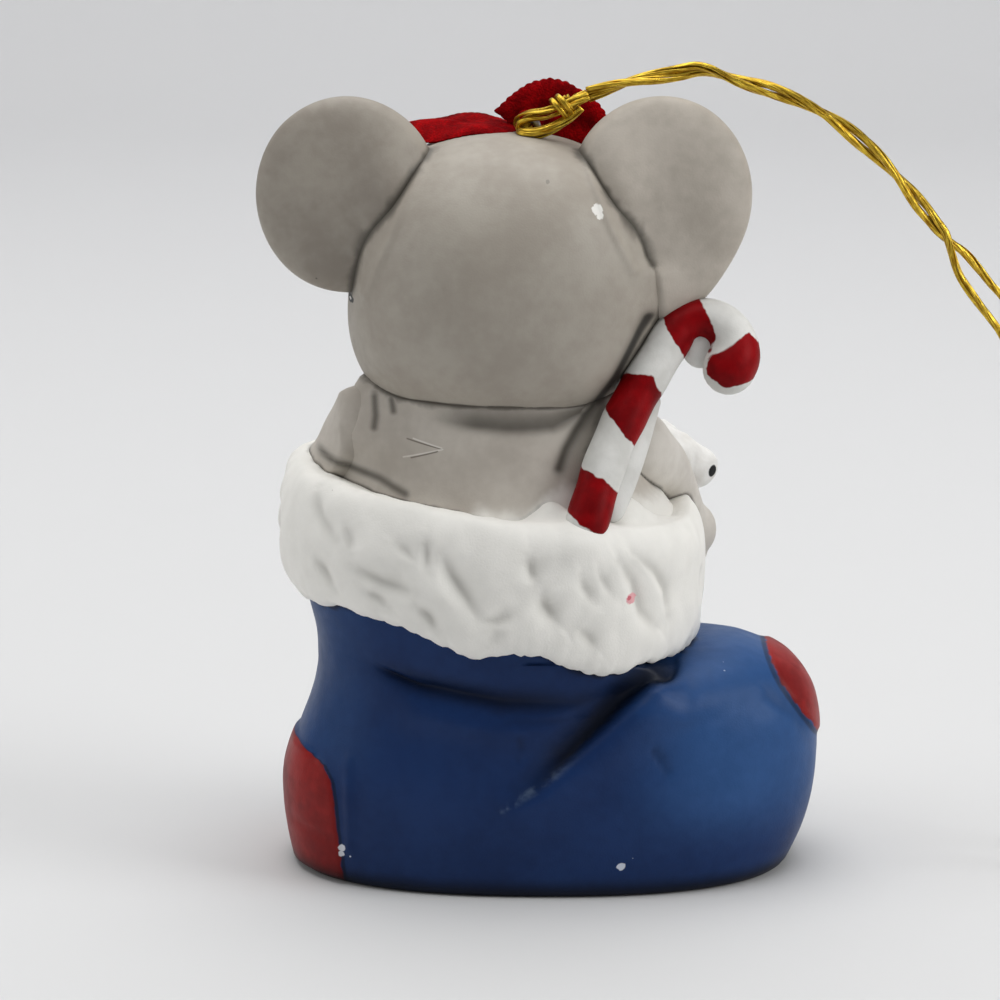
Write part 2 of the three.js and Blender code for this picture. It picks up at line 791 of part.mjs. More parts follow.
function crimpSleeve() {
  const bore = wireRadius + linkClearance;
  const outer = crimpDiameter / 2;
  const geometry = turned([[bore, 0], [outer, 0], [outer, crimpLength], [bore, crimpLength], [bore, 0]], 16);
  const under = Math.tan(washerTurn) * outer + seam;
  geometry.translate(hangX, hangY, washerZ - crimpLength - under);
  return solid(geometry);
}

// Ribbon bow: one strip of velvet, pinched at the crown, its left wing flat and its right wing turned up

function ribbonBow() {
  const pinch = new THREE.Vector3(hangX, hangY + wireRadius + seam + ribbonPinch / 2, crownTop + bowRise);
  const stations = [
    { at: [-bowLeft, ribbonWidth * 0.25, -bowRise], wide: ribbonWidth * 0.75, tilt: 12 },
    { at: [-bowLeft * 0.72, ribbonWidth * 0.22, -bowRise * 0.36], wide: ribbonWidth, tilt: 8 },
    { at: [-bowLeft * 0.35, ribbonWidth * 0.16, bowRise * 0.1], wide: ribbonWidth * 0.8, tilt: 16 },
    { at: [-ribbonPinch * 0.36, ribbonWidth * 0.11, 0], wide: ribbonPinch, tilt: 38 },
    { at: [ribbonPinch * 0.36, ribbonWidth * 0.11, 0], wide: ribbonPinch, tilt: 50 },
    { at: [bowRight * 0.4, ribbonWidth * 0.16, bowRise * 1.36], wide: ribbonWidth * 0.8, tilt: 66 },
    { at: [bowRight * 0.75, ribbonWidth * 0.19, bowRise * 1.1], wide: ribbonWidth, tilt: 70 },
    { at: [bowRight, ribbonWidth * 0.2, bowRise * 0.27], wide: ribbonWidth * 0.8, tilt: 64 },
  ];
  const line = new THREE.CatmullRomCurve3(stations.map(({ at }) => new THREE.Vector3(...at).add(pinch)));
  const steps = 18;
  const valueAt = (name, share) => {
    const place = share * (stations.length - 1);
    const low = Math.min(Math.floor(place), stations.length - 2);
    return THREE.MathUtils.lerp(stations[low][name], stations[low + 1][name], place - low);
  };
  const rings = Array.from({ length: steps + 1 }, (_, i) => {
    const share = i / steps;
    const centre = line.getPoint(share);
    const along = line.getTangent(share);
    const tilt = THREE.MathUtils.degToRad(valueAt("tilt", share));
    const across = new THREE.Vector3(0, Math.cos(tilt), Math.sin(tilt));
    across.addScaledVector(along, -across.dot(along)).normalize();
    const facing = new THREE.Vector3().crossVectors(along, across);
    const half = valueAt("wide", share) / 2;
    const strip = [-1, -0.5, 0, 0.5, 1];
    const cup = (s) => ribbonCup * s * s;
    const face = (s, lift) => centre
      .clone()
      .addScaledVector(across, s * half)
      .addScaledVector(facing, lift + cup(s));
    const top = strip.map((s) => face(s, ribbonThickness / 2));
    const under = strip.map((s) => face(s, -ribbonThickness / 2)).reverse();
    return [...top, ...under];
  });
  const ribbon = solid(skin(rings, false));
  return mainBody(ribbon.subtract(headBlock(seam)).subtract(earBlock(-1, seam)).subtract(earBlock(1, seam)));
}

// Gold cord: both legs run twisted together from the hitch, part, and close in a loop on the table.
// Points down the middle of the twisted stretch, then down the two open legs.
const twistedRoute = [
  [3.2, -2.6, 75.5], [6.2, -2.4, 76.4], [8.8, -2.2, 77], [11.5, -2, 77.4], [13.9, -2, 77.8], [16.9, -2, 76.9],
  [19.6, -2, 76.1], [22, -2, 75.3], [24.4, -2, 74.2], [26.6, -2, 72.9], [29.7, -2, 70.4], [32.1, -2, 68.1],
  [33.4, -2, 66.6], [35, -2, 64.6], [37.1, -2, 62.1],
];
const farLeg = [
  [39, -1.6, 60.3], [41.2, -1.2, 57.9], [43.2, -1, 55.6], [46, -0.6, 51], [48, -0.4, 43.5], [48.8, 0, 32.5],
  [49.2, 0.4, 20.5], [50.2, 0.6, 9.5], [52.2, 0.4, 2.9], [55, -1.4, 0.9],
];
const nearLeg = [
  [38.4, -2.6, 58.8], [40.4, -3, 55.8], [43.2, -3.2, 51.7], [45, -3.6, 46], [46, -4.2, 36.5],
  [46.4, -5, 24.5], [47.4, -5.8, 11.5], [49.6, -6.2, 3.5], [53, -5.6, 0.9],
];

function twistedLeg(side) {
  const line = new THREE.CatmullRomCurve3(twistedRoute.map((point) => new THREE.Vector3(...point)));
  const length = line.getLength();
  const steps = 30;
  return Array.from({ length: steps + 1 }, (_, i) => {
    const share = i / steps;
    const along = line.getTangentAt(share);
    const level = new THREE.Vector3(0, 1, 0).addScaledVector(along, -along.y).normalize();
    const upwards = new THREE.Vector3().crossVectors(along, level);
    const angle = ((share - 1) * length * Math.PI * 2) / cordTwist - Math.PI / 4;
    return line
      .getPointAt(share)
      .addScaledVector(level, side * cordLay * Math.cos(angle))
      .addScaledVector(upwards, side * cordLay * Math.sin(angle));
  });
}

function hangingCord() {
  const vectors = (points) => points.map((point) => new THREE.Vector3(...point));
  const route = [
    ...twistedLeg(1),
    ...vectors(farLeg),
    ...vectors(nearLeg).reverse(),
    ...twistedLeg(-1).reverse(),
  ];
  const section = new THREE.Shape();
  for (let j = 0; j <= cordSides; j += 1) {
    const angle = (j / cordSides) * Math.PI * 2;
    const point = [Math.cos(angle) * (cordDiameter / 2), Math.sin(angle) * (cordDiameter / 2)];
    if (j === 0) {
      section.moveTo(...point);
    } else {
      section.lineTo(...point);
    }
  }
  const extrudePath = new THREE.CatmullRomCurve3(route);
  const settings = { steps: cordSteps, extrudePath, bevelEnabled: false };
  return solid(new THREE.ExtrudeGeometry(section, settings));
}

// The hitch: a long loop through the wire eye, closed by a ridged wrap where the two legs leave it
function cordHitch() {
  const start = new THREE.Vector3(...twistedRoute[0]);
  const eye = new THREE.Vector3(hangX, hangY, upperEyeZ);
  const along = new THREE.Vector3(...twistedRoute[1]).sub(start).normalize();
  const strand = cordDiameter / 2;
  const wrap = turned([
    [0, -hitchLength * 0.42], [strand * 1.8, -hitchLength * 0.4], [strand * 2.5, -hitchLength * 0.3],
    [strand * 2, -hitchLength * 0.22], [strand * 2.6, -hitchLength * 0.13], [strand * 2.1, -seam], [0, -seam],
  ], smallSides);
  wrap.applyQuaternion(new THREE.Quaternion().setFromUnitVectors(new THREE.Vector3(0, 0, 1), along));
  wrap.translate(start.x, start.y, start.z);
  const reach = start.clone().addScaledVector(along, -hitchLength * 0.25).sub(eye);
  const forward = reach.clone().normalize();
  const across = alongY.clone().addScaledVector(forward, -forward.y).normalize();
  const middle = eye.clone().addScaledVector(reach, 0.5);
  const loop = loopOf(middle, forward, across, reach.length() / 2, hitchWidth / 2, hitchStrand / 2);
  return solid(wrap).add(loop);
}

// Finishes

function finish(color, roughness, metalness) {
  return new THREE.MeshStandardMaterial({ color, roughness, metalness });
}

const greyBisque = finish(0x9d9791, 0.7, 0);
const whiteBisque = finish(0xe4e2dc, 0.75, 0);
const bluePaint = finish(0x27467c, 0.45, 0);
const redVelvet = finish(0x7a0408, 0.95, 0);
const goldThread = finish(0xd2a526, 0.35, 0.9);
const steel = finish(0xb9bbbd, 0.35, 1);
const wood = finish(0xb98a55, 0.6, 0);

const ornament = new THREE.Group();

function place(name, body, material) {
  const mesh = new THREE.Mesh(geometryOf(body), material);
  mesh.name = name;
  ornament.add(mesh);
}

place("boot_bell", bootBell(), bluePaint);
place("fur_cuff", furCuff(), whiteBisque);
place("mouse_torso", mainBody(torsoShell().subtract(headBlock(seam))), greyBisque);
place("mouse_head", headShell(), greyBisque);
place("left_ear", earPiece(-1), greyBisque);
place("right_ear", earPiece(1), greyBisque);
place("left_arm", armPiece(-1), greyBisque);
place("right_arm", armPiece(1), greyBisque);
place("candy_cane", canePiece(), whiteBisque);
place("toy_bear", toyPiece(), whiteBisque);
place("ribbon_bow", ribbonBow(), redVelvet);
place("hanger_wire", hangerWire(), steel);
place("stop_washer", stopWasher(), steel);
place("crimp_sleeve", crimpSleeve(), steel);
place("swing_ring", swingRing(), steel);
place("clapper_wire", clapperWire(), steel);
place("clapper_bead", clapperBead(), wood);
place("cord_hitch", cordHitch(), goldThread);
place("hanging_cord", hangingCord(), goldThread);

// The origin is under the middle of everything but the cord.
const porcelain = new THREE.Box3();
const withoutCord = ornament.children.filter(({ material }) => material !== goldThread);
withoutCord.forEach((mesh) => porcelain.expandByObject(mesh));
const middle = porcelain.getCenter(new THREE.Vector3());
ornament.position.set(-middle.x, -middle.y, -porcelain.min.z);

export default ornament;
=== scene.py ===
"""The porcelain mouse bell ornament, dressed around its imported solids.

Shapes are worked out in millimetres, in the solids' own drawing frame.
piece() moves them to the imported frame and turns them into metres.
"""

import math

import bpy
import numpy as np
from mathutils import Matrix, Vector, noise
from mathutils.bvhtree import BVHTree


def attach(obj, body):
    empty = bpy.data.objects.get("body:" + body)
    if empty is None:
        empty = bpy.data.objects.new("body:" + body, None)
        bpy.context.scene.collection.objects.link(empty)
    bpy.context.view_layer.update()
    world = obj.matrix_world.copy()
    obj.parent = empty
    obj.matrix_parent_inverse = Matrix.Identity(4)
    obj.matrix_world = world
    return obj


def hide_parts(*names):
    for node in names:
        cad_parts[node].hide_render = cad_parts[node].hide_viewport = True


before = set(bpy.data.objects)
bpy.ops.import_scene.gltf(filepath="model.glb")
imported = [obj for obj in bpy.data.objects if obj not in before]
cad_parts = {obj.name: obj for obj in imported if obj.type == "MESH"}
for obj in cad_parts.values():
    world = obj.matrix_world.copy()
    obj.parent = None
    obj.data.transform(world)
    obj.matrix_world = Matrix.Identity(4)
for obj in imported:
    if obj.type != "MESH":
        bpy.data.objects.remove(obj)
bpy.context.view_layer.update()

MM = 0.001
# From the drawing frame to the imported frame, in millimetres
SHIFT = np.array([0.82694, -0.04451, 0.0])
TURN = 2 * math.pi
# A stored distance that is far outside every painted patch
NOWHERE = -9.0

# Camera, in metres where not named otherwise
LENS_MM = 156.2
SENSOR_MM = 36
CAMERA_LIFT = math.radians(13)
CAMERA_DISTANCE = 0.42
CAMERA_LOOK = Vector((-0.004203, -0.000044, 0.0357))

# Boot
WALL = 2.6
HEEL_X = -26.0
SOLE_WIDTH = 31.0
SOLE_ROUND = 0.8
SOLE_TUCK = 1.1
HEEL_LEVEL = 8.0
ANKLE_LEVEL = 20.5
ANKLE_TUCK = 3.3
ANKLE_WIDTH = 28.8
TOE_LEVEL = 13.2
TOE_HEIGHT = 23.0
TOE_LENGTH = 12.0
TOE_UNDER = 18.0
INSTEP_X = 14.0
SHAFT_TOP = 33.0
SHAFT_LENGTH = 36.0
SHAFT_WIDTH = 30.0
SHAFT_BACK = -23.3
SHAFT_X = SHAFT_BACK + SHAFT_LENGTH / 2
TOE_FULLNESS = 2.25
BOOT_FULLNESS = 2.35

# Cuff
CUFF_THICKNESS = 2.4
CUFF_HEIGHT = 14.0
CUFF_LEVEL = 31.0
CUFF_SLOPE = math.tan(math.radians(7.7))
SEAM = 0.3

# Mouse
TORSO_HEIGHT = 17.0
CHEST_LEVEL = 9.0
CHEST = (26.5, 21.5)
NECK = (18.0, 16.0)
TORSO_BACK = 1.2
HEAD = np.array([SHAFT_X + 0.65, -TORSO_BACK, SHAFT_TOP + 10.7 + 13.8])
HEAD_HALF = np.array([14.7, 13.6, 13.8])
HEAD_FULLNESS = 2.3
MUZZLE = np.array([0.0, 13.0, -3.6])
MUZZLE_HALF = np.array([6.3, 4.4, 4.8])
NOSE = np.array([0.0, 16.6, -0.72])
CHEEK_HALF = np.array([8.0, 9.5, 8.0])
NOSE_HALF = np.array([1.68, 1.4, 1.4])
EAR_HALF = np.array([8.6, 2.7, 9.3])
EAR_LIFT = math.radians(30.5)
EAR_SINK = 6.1
EAR_BACK = 3.2
EAR_DISH = 2.5
CROWN_HOLE = 1.35
NECK_HOLE = 6.6
INNER_NECK = 6.4
INNER_CROWN = 1.3
# Shoulder and elbow: how far aside, how far forward and how far above the shaft's top
SHOULDER = (11.4, -3.1, 11.4)
ELBOW = (15.7, 4.2, 4.6)
ARM_RADIUS = 3.7
PAW_HALF = (3.5, 2.94, 3.22)
FINGER_HALF = (1.25, 1.25, 1.3)

# Candy cane
CANE_RADIUS = 2.3
CANE_LENGTH = 20.0
CANE_LEAN = math.radians(24.5)
CANE_FORWARD = math.radians(25)
CANE_BOW = 0.9
CANE_TURN = -68
CANE_SUNK = 0.3
CANE_OUT = 2.6
HOOK_RADIUS = 3.1
HOOK_TURN = 190

# Toy, at its turn round the cuff in degrees
TOY_TURN = 38
TOY_LENGTH = 11

# Wire
HANG_ASIDE = 2.4
HANG = np.array([HEAD[0] + HANG_ASIDE, HEAD[1]])
CROWN_SHARE = (1 - (HANG_ASIDE / HEAD_HALF[0]) ** HEAD_FULLNESS) ** (1 / HEAD_FULLNESS)
CROWN_TOP = HEAD[2] + HEAD_HALF[2] * CROWN_SHARE
WIRE = 0.35
WIRE_SIDES = 14
EYE_RADIUS = 1.7
EYE_PLAY = 0.8
EYE_OPEN = 0.05
RING_RADIUS = 1.9
UPPER_EYE = CROWN_TOP + 1.45
LOWER_EYE = CROWN_TOP - 37.49
FIRST_SWING = LOWER_EYE - EYE_RADIUS
RING_Z = FIRST_SWING + EYE_PLAY - RING_RADIUS
SECOND_SWING = RING_Z - RING_RADIUS
CLAPPER_EYE = SECOND_SWING + EYE_PLAY - EYE_RADIUS
CLAPPER_LENGTH = 17.0
BEAD_Z = CLAPPER_EYE - EYE_RADIUS - CLAPPER_LENGTH
BEAD_R = 4.5
BEAD_BORE = 0.7
WASHER_THICKNESS = 0.8
WASHER_RADIUS = 3.0
SLEEVE_LENGTH = 2.6
SLEEVE_RADIUS = 1.1


# Shaping helpers

def ease(share):
    share = np.clip(share, 0, 1)
    return share * share * (3 - 2 * share)


def hump(away, width, power=2):
    """A smooth hump: 1 where nothing is away, fading out over the width."""
    return np.exp(-((away / width) ** power))


def round_steps(count):
    return np.linspace(0, TURN, count, endpoint=False)


def spread(value, power):
    return np.sign(value) * np.abs(value) ** power


def unit(vectors):
    return vectors / np.maximum(np.linalg.norm(vectors, axis=-1, keepdims=True), 1e-9)


def ripple(points, size, seed=0.0):
    """Smooth noise from -1 to 1 whose lumps are about this many millimetres across."""
    start = Vector((seed, seed * 1.7, seed * 0.6))
    flat = points.reshape(-1, 3) / size
    return np.array([noise.noise(Vector(p) + start) for p in flat]).reshape(points.shape[:-1])


def band_faces(rows, around, joined):
    last = rows if joined else rows - 1
    row = np.arange(last)[:, None] * around
    above = ((np.arange(last)[:, None] + 1) % rows) * around
    here = np.arange(around)[None, :]
    beside = (here + 1) % around
    return np.stack([row + here, row + beside, above + beside, above + here], axis=-1).reshape(-1, 4)


def outward(points, faces):
    """Turns the faces over where a closed skin is inside out."""
    corners = np.array([(face[0], face[i], face[i + 1]) for face in faces for i in range(1, len(face) - 1)])
    a, b, c = points[corners.T]
    volume = (a * np.cross(b, c)).sum()
    return faces if volume > 0 else [face[::-1] for face in faces]


def skin(rings, joined=False):
    """A closed skin over rings of points: joined like a tyre, or with a cap on both ends."""
    rows, around, _ = rings.shape
    points = rings.reshape(-1, 3)
    faces = band_faces(rows, around, joined).tolist()
    if not joined:
        points = np.vstack([points, rings[0].mean(0), rings[-1].mean(0)])
        first = rows * around
        top = first - around
        for j in range(around):
            k = (j + 1) % around
            faces.append([first, k, j])
            faces.append([first + 1, top + j, top + k])
    return points, outward(points, faces)


def ring_normals(rings):
    along = np.gradient(rings, axis=0)
    across = np.roll(rings, -1, 1) - np.roll(rings, 1, 1)
    normals = unit(np.cross(across, along))
    out = rings - rings.mean(axis=1, keepdims=True)
    return normals if (normals * out).sum() > 0 else -normals


def curve_through(points, count):
    """Even steps along the smooth curve through the points."""
    p = np.asarray(points, float)
    p = np.vstack([2 * p[0] - p[1], p, 2 * p[-1] - p[-2]])
    fine = []
    t = np.linspace(0, 1, 24, endpoint=False)[:, None]
    for a, b, c, d in zip(p[:-3], p[1:-2], p[2:-1], p[3:]):
        k1, k2, k3 = (math.sqrt(np.linalg.norm(e)) for e in (b - a, c - b, d - c))
        start = ((b - a) / k1 - (c - a) / (k1 + k2) + (c - b) / k2) * k2
        end = ((c - b) / k2 - (d - b) / (k2 + k3) + (d - c) / k3) * k2
        fine.append(
            (2 * t**3 - 3 * t**2 + 1) * b + (t**3 - 2 * t**2 + t) * start
            + (3 * t**2 - 2 * t**3) * c + (t**3 - t**2) * end
        )
    fine = np.vstack(fine + [p[-2:-1]])
    return even_steps(fine, count)


def path_length(path):
    return np.linalg.norm(np.diff(path, axis=0), axis=1).sum()


def even_steps(line, count):
    step = np.linalg.norm(np.diff(line, axis=0), axis=1)
    along = np.concatenate([[0], np.cumsum(step)])
    even = np.linspace(0, along[-1], count)
    return np.column_stack([np.interp(even, along, line[:, k]) for k in range(3)])


def carried_frames(path):
    """Tangent and two square directions along a path, carried on without twist."""
    tangent = unit(np.gradient(path, axis=0))
    first = np.zeros_like(path)
    guess = np.array([0.0, 1.0, 0.0]) if abs(tangent[0][1]) < 0.9 else np.array([1.0, 0.0, 0.0])
    first[0] = unit(guess - tangent[0] * np.dot(guess, tangent[0]))
    for i in range(1, len(path)):
        carried = first[i - 1] - tangent[i] * np.dot(first[i - 1], tangent[i])
        first[i] = unit(carried)
    return tangent, first, np.cross(tangent, first)


def tube(path, radius, sides):
    """Rings of a round tube; the radius may change along the path."""
    radius = np.broadcast_to(np.asarray(radius, float), (len(path),))
    _, first, second = carried_frames(path)
    turn = round_steps(sides)
    ring = np.cos(turn)[None, :, None] * first[:, None] + np.sin(turn)[None, :, None] * second[:, None]
    return path[:, None] + ring * radius[:, None, None]


def domed(path, radius, sides, steps=6):
    """A round limb with domed ends."""
    radius = np.broadcast_to(np.asarray(radius, float), (len(path),))
    tangent = unit(np.gradient(path, axis=0))
    bend = np.linspace(0.08, 1, steps, endpoint=False)[:, None] * math.pi / 2
    start = path[0] - tangent[0] * radius[0] * np.cos(bend)
    end = path[-1] + tangent[-1] * radius[-1] * np.cos(bend[::-1])
    full = np.vstack([start, path, end])
    thick = np.concatenate([radius[0] * np.sin(bend[:, 0]), radius, radius[-1] * np.sin(bend[::-1, 0])])
    return tube(full, thick, sides)


def egg(centre, half, sides=40):
    """Rings of a smooth egg or ball."""
    tilt = np.linspace(0.06, math.pi - 0.06, sides)
    turn = round_steps(sides * 2)
    rings = np.stack([
        np.sin(tilt)[:, None] * np.cos(turn)[None],
        np.sin(tilt)[:, None] * np.sin(turn)[None],
        np.cos(tilt)[:, None] * np.ones_like(turn)[None],
    ], axis=-1)
    return np.asarray(centre) + rings * np.asarray(half)


def egg_field(points, centre, half):
    """Rough distance to an egg's surface, negative inside."""
    p = points - centre
    k0 = np.linalg.norm(p / half, axis=-1)
    k1 = np.linalg.norm(p / (np.asarray(half) ** 2), axis=-1)
    return k0 * (k0 - 1) / np.maximum(k1, 1e-9)


def melt(a, b, k):
    """Joins two distance fields with a soft fillet of about k."""
    h = np.clip(0.5 + 0.5 * (b - a) / k, 0, 1)
    return b + (a - b) * h - k * h * (1 - h)


def cast(centre, directions, field, far, near=0.2, steps=90):
    """Points where rays from the centre leave the field, searched from far inwards."""
    outer = np.full(directions.shape[:-1], far)
    inner = outer.copy()
    found = np.zeros(outer.shape, bool)
    for reach in np.linspace(far, far * near, steps):
        inside = field(centre + directions * reach) < 0
        fresh = inside & ~found
        inner[fresh] = reach
        outer[fresh] = reach + far * (1 - near) / (steps - 1)
        found |= inside
    for _ in range(24):
        middle = (inner + outer) / 2
        inside = field(centre + directions * middle[..., None]) < 0
        inner = np.where(inside, middle, inner)
        outer = np.where(inside, outer, middle)
    return centre + directions * inner[..., None]


def line_distance(u, v, points):
    """Distance to a line of points in a plane, the share along it and the side of it."""
    points = np.asarray(points, float)
    best = np.full(u.shape, 1e9)
    place = np.zeros(u.shape)
    side = np.zeros(u.shape)
    count = len(points) - 1
    for i in range(count):
        a = points[i]
        ab = points[i + 1] - a
        t = np.clip(((u - a[0]) * ab[0] + (v - a[1]) * ab[1]) / np.dot(ab, ab), 0, 1)
        du = u - a[0] - t * ab[0]
        dv = v - a[1] - t * ab[1]
        away = np.hypot(du, dv)
        near = away < best
        best = np.where(near, away, best)
        place = np.where(near, (i + t) / count, place)
        side = np.where(near, np.sign(du * ab[1] - dv * ab[0]), side)
    return best, place, side


def patch_distance(u, v, corners):
    """How far in from the edge of a painted patch in a plane, negative outside it."""
    away = line_distance(u, v, corners + corners[:1])[0]
    inside = np.zeros(u.shape, bool)
    for (a, b), (c, d) in zip(corners, corners[1:] + corners[:1]):
        if b != d:
            inside ^= ((b > v) != (d > v)) & (u < a + (v - b) * (c - a) / (d - b))
    return np.where(inside, away, -away)


def joined_skins(shells):
    """Several closed skins in one list of points and faces."""
    points, faces, start = [], [], 0
    for rings in shells:
        p, f = skin(rings)
        points.append(p)
        faces += [[i + start for i in face] for face in f]
        start += len(p)
    return np.vstack(points), faces


def fused(shells, voxel, rounds=9):
    """Several closed shells melted into one skin: returns its points and faces in millimetres."""
    points, faces = joined_skins(shells)
    mesh = bpy.data.meshes.new("clay")
    mesh.from_pydata(points.tolist(), [], faces)
    clay = bpy.data.objects.new("clay", mesh)
    bpy.context.collection.objects.link(clay)
    remesh = clay.modifiers.new("melt", "REMESH")
    remesh.mode = "VOXEL"
    remesh.voxel_size = voxel
    relax = clay.modifiers.new("relax", "SMOOTH")
    relax.factor = 0.5
    relax.iterations = rounds
    done = clay.evaluated_get(bpy.context.evaluated_depsgraph_get()).to_mesh()
    flat = np.empty(len(done.vertices) * 3)
    done.vertices.foreach_get("co", flat)
    made = [list(polygon.vertices) for polygon in done.polygons]
    bpy.data.objects.remove(clay)
    bpy.data.meshes.remove(mesh)
    return flat.reshape(-1, 3), made


def piece(name, points, faces, material, body, nodes, marks=None):
    """Makes a piece that stands for its solids and rides on their body."""
    mesh = bpy.data.meshes.new(name)
    mesh.from_pydata(((points + SHIFT) * MM).tolist(), [], faces)
    for mark, values in (marks or {}).items():
        layer = mesh.attributes.new(mark, "FLOAT", "POINT")
        layer.data.foreach_set("value", np.asarray(values, np.float32).ravel())
    mesh.polygons.foreach_set("use_smooth", np.ones(len(mesh.polygons), bool))
    mesh.materials.append(material)
    obj = bpy.data.objects.new(name, mesh)
    bpy.context.collection.objects.link(obj)
    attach(obj, body)
    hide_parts(*nodes)
    return obj


def places_of(obj):
    """A piece's points in millimetres, in the drawing frame."""
    flat = np.empty(len(obj.data.vertices) * 3)
    obj.data.vertices.foreach_get("co", flat)
    return flat.reshape(-1, 3) / MM - SHIFT


def surface_of(obj):
    places = [vertex.co for vertex in obj.data.vertices]
    return BVHTree.FromPolygons(places, [face.vertices for face in obj.data.polygons])


def fillet(obj, other, size, highest, strength=0.25, fade=2.0):
    """Swells a piece towards its neighbour below a level, so that the two run into each other."""
    surface = surface_of(other)
    moves = []
    for vertex in obj.data.vertices:
        away = surface.find_nearest(vertex.co, size * MM)[3]
        share = 0.0 if away is None else 1 - away / MM / size
        level = float(ease((highest - vertex.co.z / MM) / fade))
        moves.append(vertex.normal * (size * strength * share * share * level * MM))
    for vertex, move in zip(obj.data.vertices, moves):
        vertex.co += move


def mark_creases(obj, lines, strength=0.95):
    """Adds painted shade in creases on the back of a piece: each is a line in x and z, with its width."""
    x, y, z = places_of(obj).T
    layer = obj.data.attributes["crease"]
    crease = np.empty(len(x), np.float32)
    layer.data.foreach_get("value", crease)
    for line, width in lines:
        dark = strength * hump(line_distance(x, z, line)[0], width) * ease(-y / 4)
        crease = np.maximum(crease, dark)
    layer.data.foreach_set("value", crease.astype(np.float32))


# The stored nearness sets where painted shade darkens the gaps between parts.
def mark_nearness(obj, others, reach=3.0):
    """Stores how close each point lies to its neighbours, in millimetres.

    A neighbour's weight stretches its distance, and below its level it counts less and less.
    """
    surfaces = [(surface_of(other), weight, level) for other, weight, level in others]
    gaps = []
    for vertex in obj.data.vertices:
        best = reach
        for surface, weight, level in surfaces:
            away = surface.find_nearest(vertex.co, reach * MM)[3]
            if away is not None:
                beyond = max(0.0, level - vertex.co.z / MM)
                best = min(best, away / MM * weight + beyond)
        gaps.append(best)
    layer = obj.data.attributes.new("gap", "FLOAT", "POINT")
    layer.data.foreach_set("value", np.asarray(gaps, np.float32))


# Camera

def set_camera():
    data = bpy.data.cameras.new("camera")
    data.sensor_width = SENSOR_MM
    data.lens = LENS_MM
    data.clip_start = 0.01
    camera = bpy.data.objects.new("camera", data)
    bpy.context.collection.objects.link(camera)
    back = Vector((0, -math.cos(CAMERA_LIFT), math.sin(CAMERA_LIFT)))
    camera.location = CAMERA_LOOK + back * CAMERA_DISTANCE
    camera.rotation_euler = (math.pi / 2 - CAMERA_LIFT, 0, 0)
    bpy.context.scene.camera = camera


set_camera()


# Node helpers

def srgb(r, g, b):
    """A paint colour as it is seen, from 0 to 255, in the numbers that a shader takes."""
    def linear(c):
        c /= 255
        return c / 12.92 if c <= 0.04045 else ((c + 0.055) / 1.055) ** 2.4
    return (linear(r), linear(g), linear(b), 1.0)


def feed(tree, socket, value):
    """Links an output to a socket, or sets a plain value on it."""
    if isinstance(value, bpy.types.NodeSocket):
        tree.links.new(value, socket)
    else:
        socket.default_value = value


def add(tree, kind, inputs=None, **settings):
    made = tree.nodes.new(kind)
    for key, value in settings.items():
        setattr(made, key, value)
    for key, value in (inputs or {}).items():
        feed(tree, made.inputs[key], value)
    return made


def maths(tree, operation, *values, clamp=False):
    made = add(tree, "ShaderNodeMath", dict(enumerate(values)), operation=operation)
    made.use_clamp = clamp
    return made.outputs[0]


def times(tree, first, second):
    return maths(tree, "MULTIPLY", first, second)


def vector_maths(tree, operation, *values):
    made = add(tree, "ShaderNodeVectorMath", dict(enumerate(values)), operation=operation)
    plain = operation in ("DOT_PRODUCT", "DISTANCE", "LENGTH")
    return made.outputs["Value" if plain else "Vector"]


def stepped(tree, value, low, high, start=0.0, end=1.0):
    """Runs smoothly from start to end while the value goes from low to high."""
    made = add(
        tree, "ShaderNodeMapRange",
        {"Value": value, "From Min": low, "From Max": high, "To Min": start, "To Max": end},
        interpolation_type="SMOOTHSTEP",
    )
    return made.outputs["Result"]


def mixed(tree, share, first, second):
    return add(tree, "ShaderNodeMix", {0: share, 6: first, 7: second}, data_type="RGBA").outputs[2]


def mark(tree, name):
    return add(tree, "ShaderNodeAttribute", attribute_name=name).outputs["Fac"]


def object_place(tree):
    return add(tree, "ShaderNodeTexCoord").outputs["Object"]


def noise_value(tree, scale, detail=2.0, vector=None):
    place = vector or object_place(tree)
    made = add(tree, "ShaderNodeTexNoise", {"Vector": place, "Scale": scale, "Detail": detail})
    return made.outputs["Fac"]


def new_group(name, takes, gives):
    group = bpy.data.node_groups.new(name, "ShaderNodeTree")
    for label, kind, value in takes:
        socket = group.interface.new_socket(name=label, in_out="INPUT", socket_type="NodeSocket" + kind)
        socket.default_value = value
    for label, kind in gives:
        group.interface.new_socket(name=label, in_out="OUTPUT", socket_type="NodeSocket" + kind)
    entry = group.nodes.new("NodeGroupInput").outputs
    leave = group.nodes.new("NodeGroupOutput").inputs
    return group, entry, leave


def use(tree, group, **inputs):
    made = tree.nodes.new("ShaderNodeGroup")
    made.node_tree = group
    for key, value in inputs.items():
        feed(tree, made.inputs[key.replace("_", " ")], value)
    return made.outputs


# Shared effects

def make_bisque_grain():
    """Soft mottling of brushed-on paint, and the fine tooth of unglazed porcelain."""
    group, entry, leave = new_group(
        "bisque_grain",
        [("Patch Size", "Float", 160.0), ("Tooth Size", "Float", 5200.0)],
        [("Mottle", "Float"), ("Tooth", "Float")],
    )
    broad = times(group, noise_value(group, entry["Patch Size"], 3.0), 0.72)
    streak = times(group, noise_value(group, 900.0, 3.0), 0.28)
    mottle = maths(group, "ADD", broad, streak)
    group.links.new(stepped(group, mottle, 0.32, 0.68), leave["Mottle"])
    group.links.new(noise_value(group, entry["Tooth Size"]), leave["Tooth"])
    return group


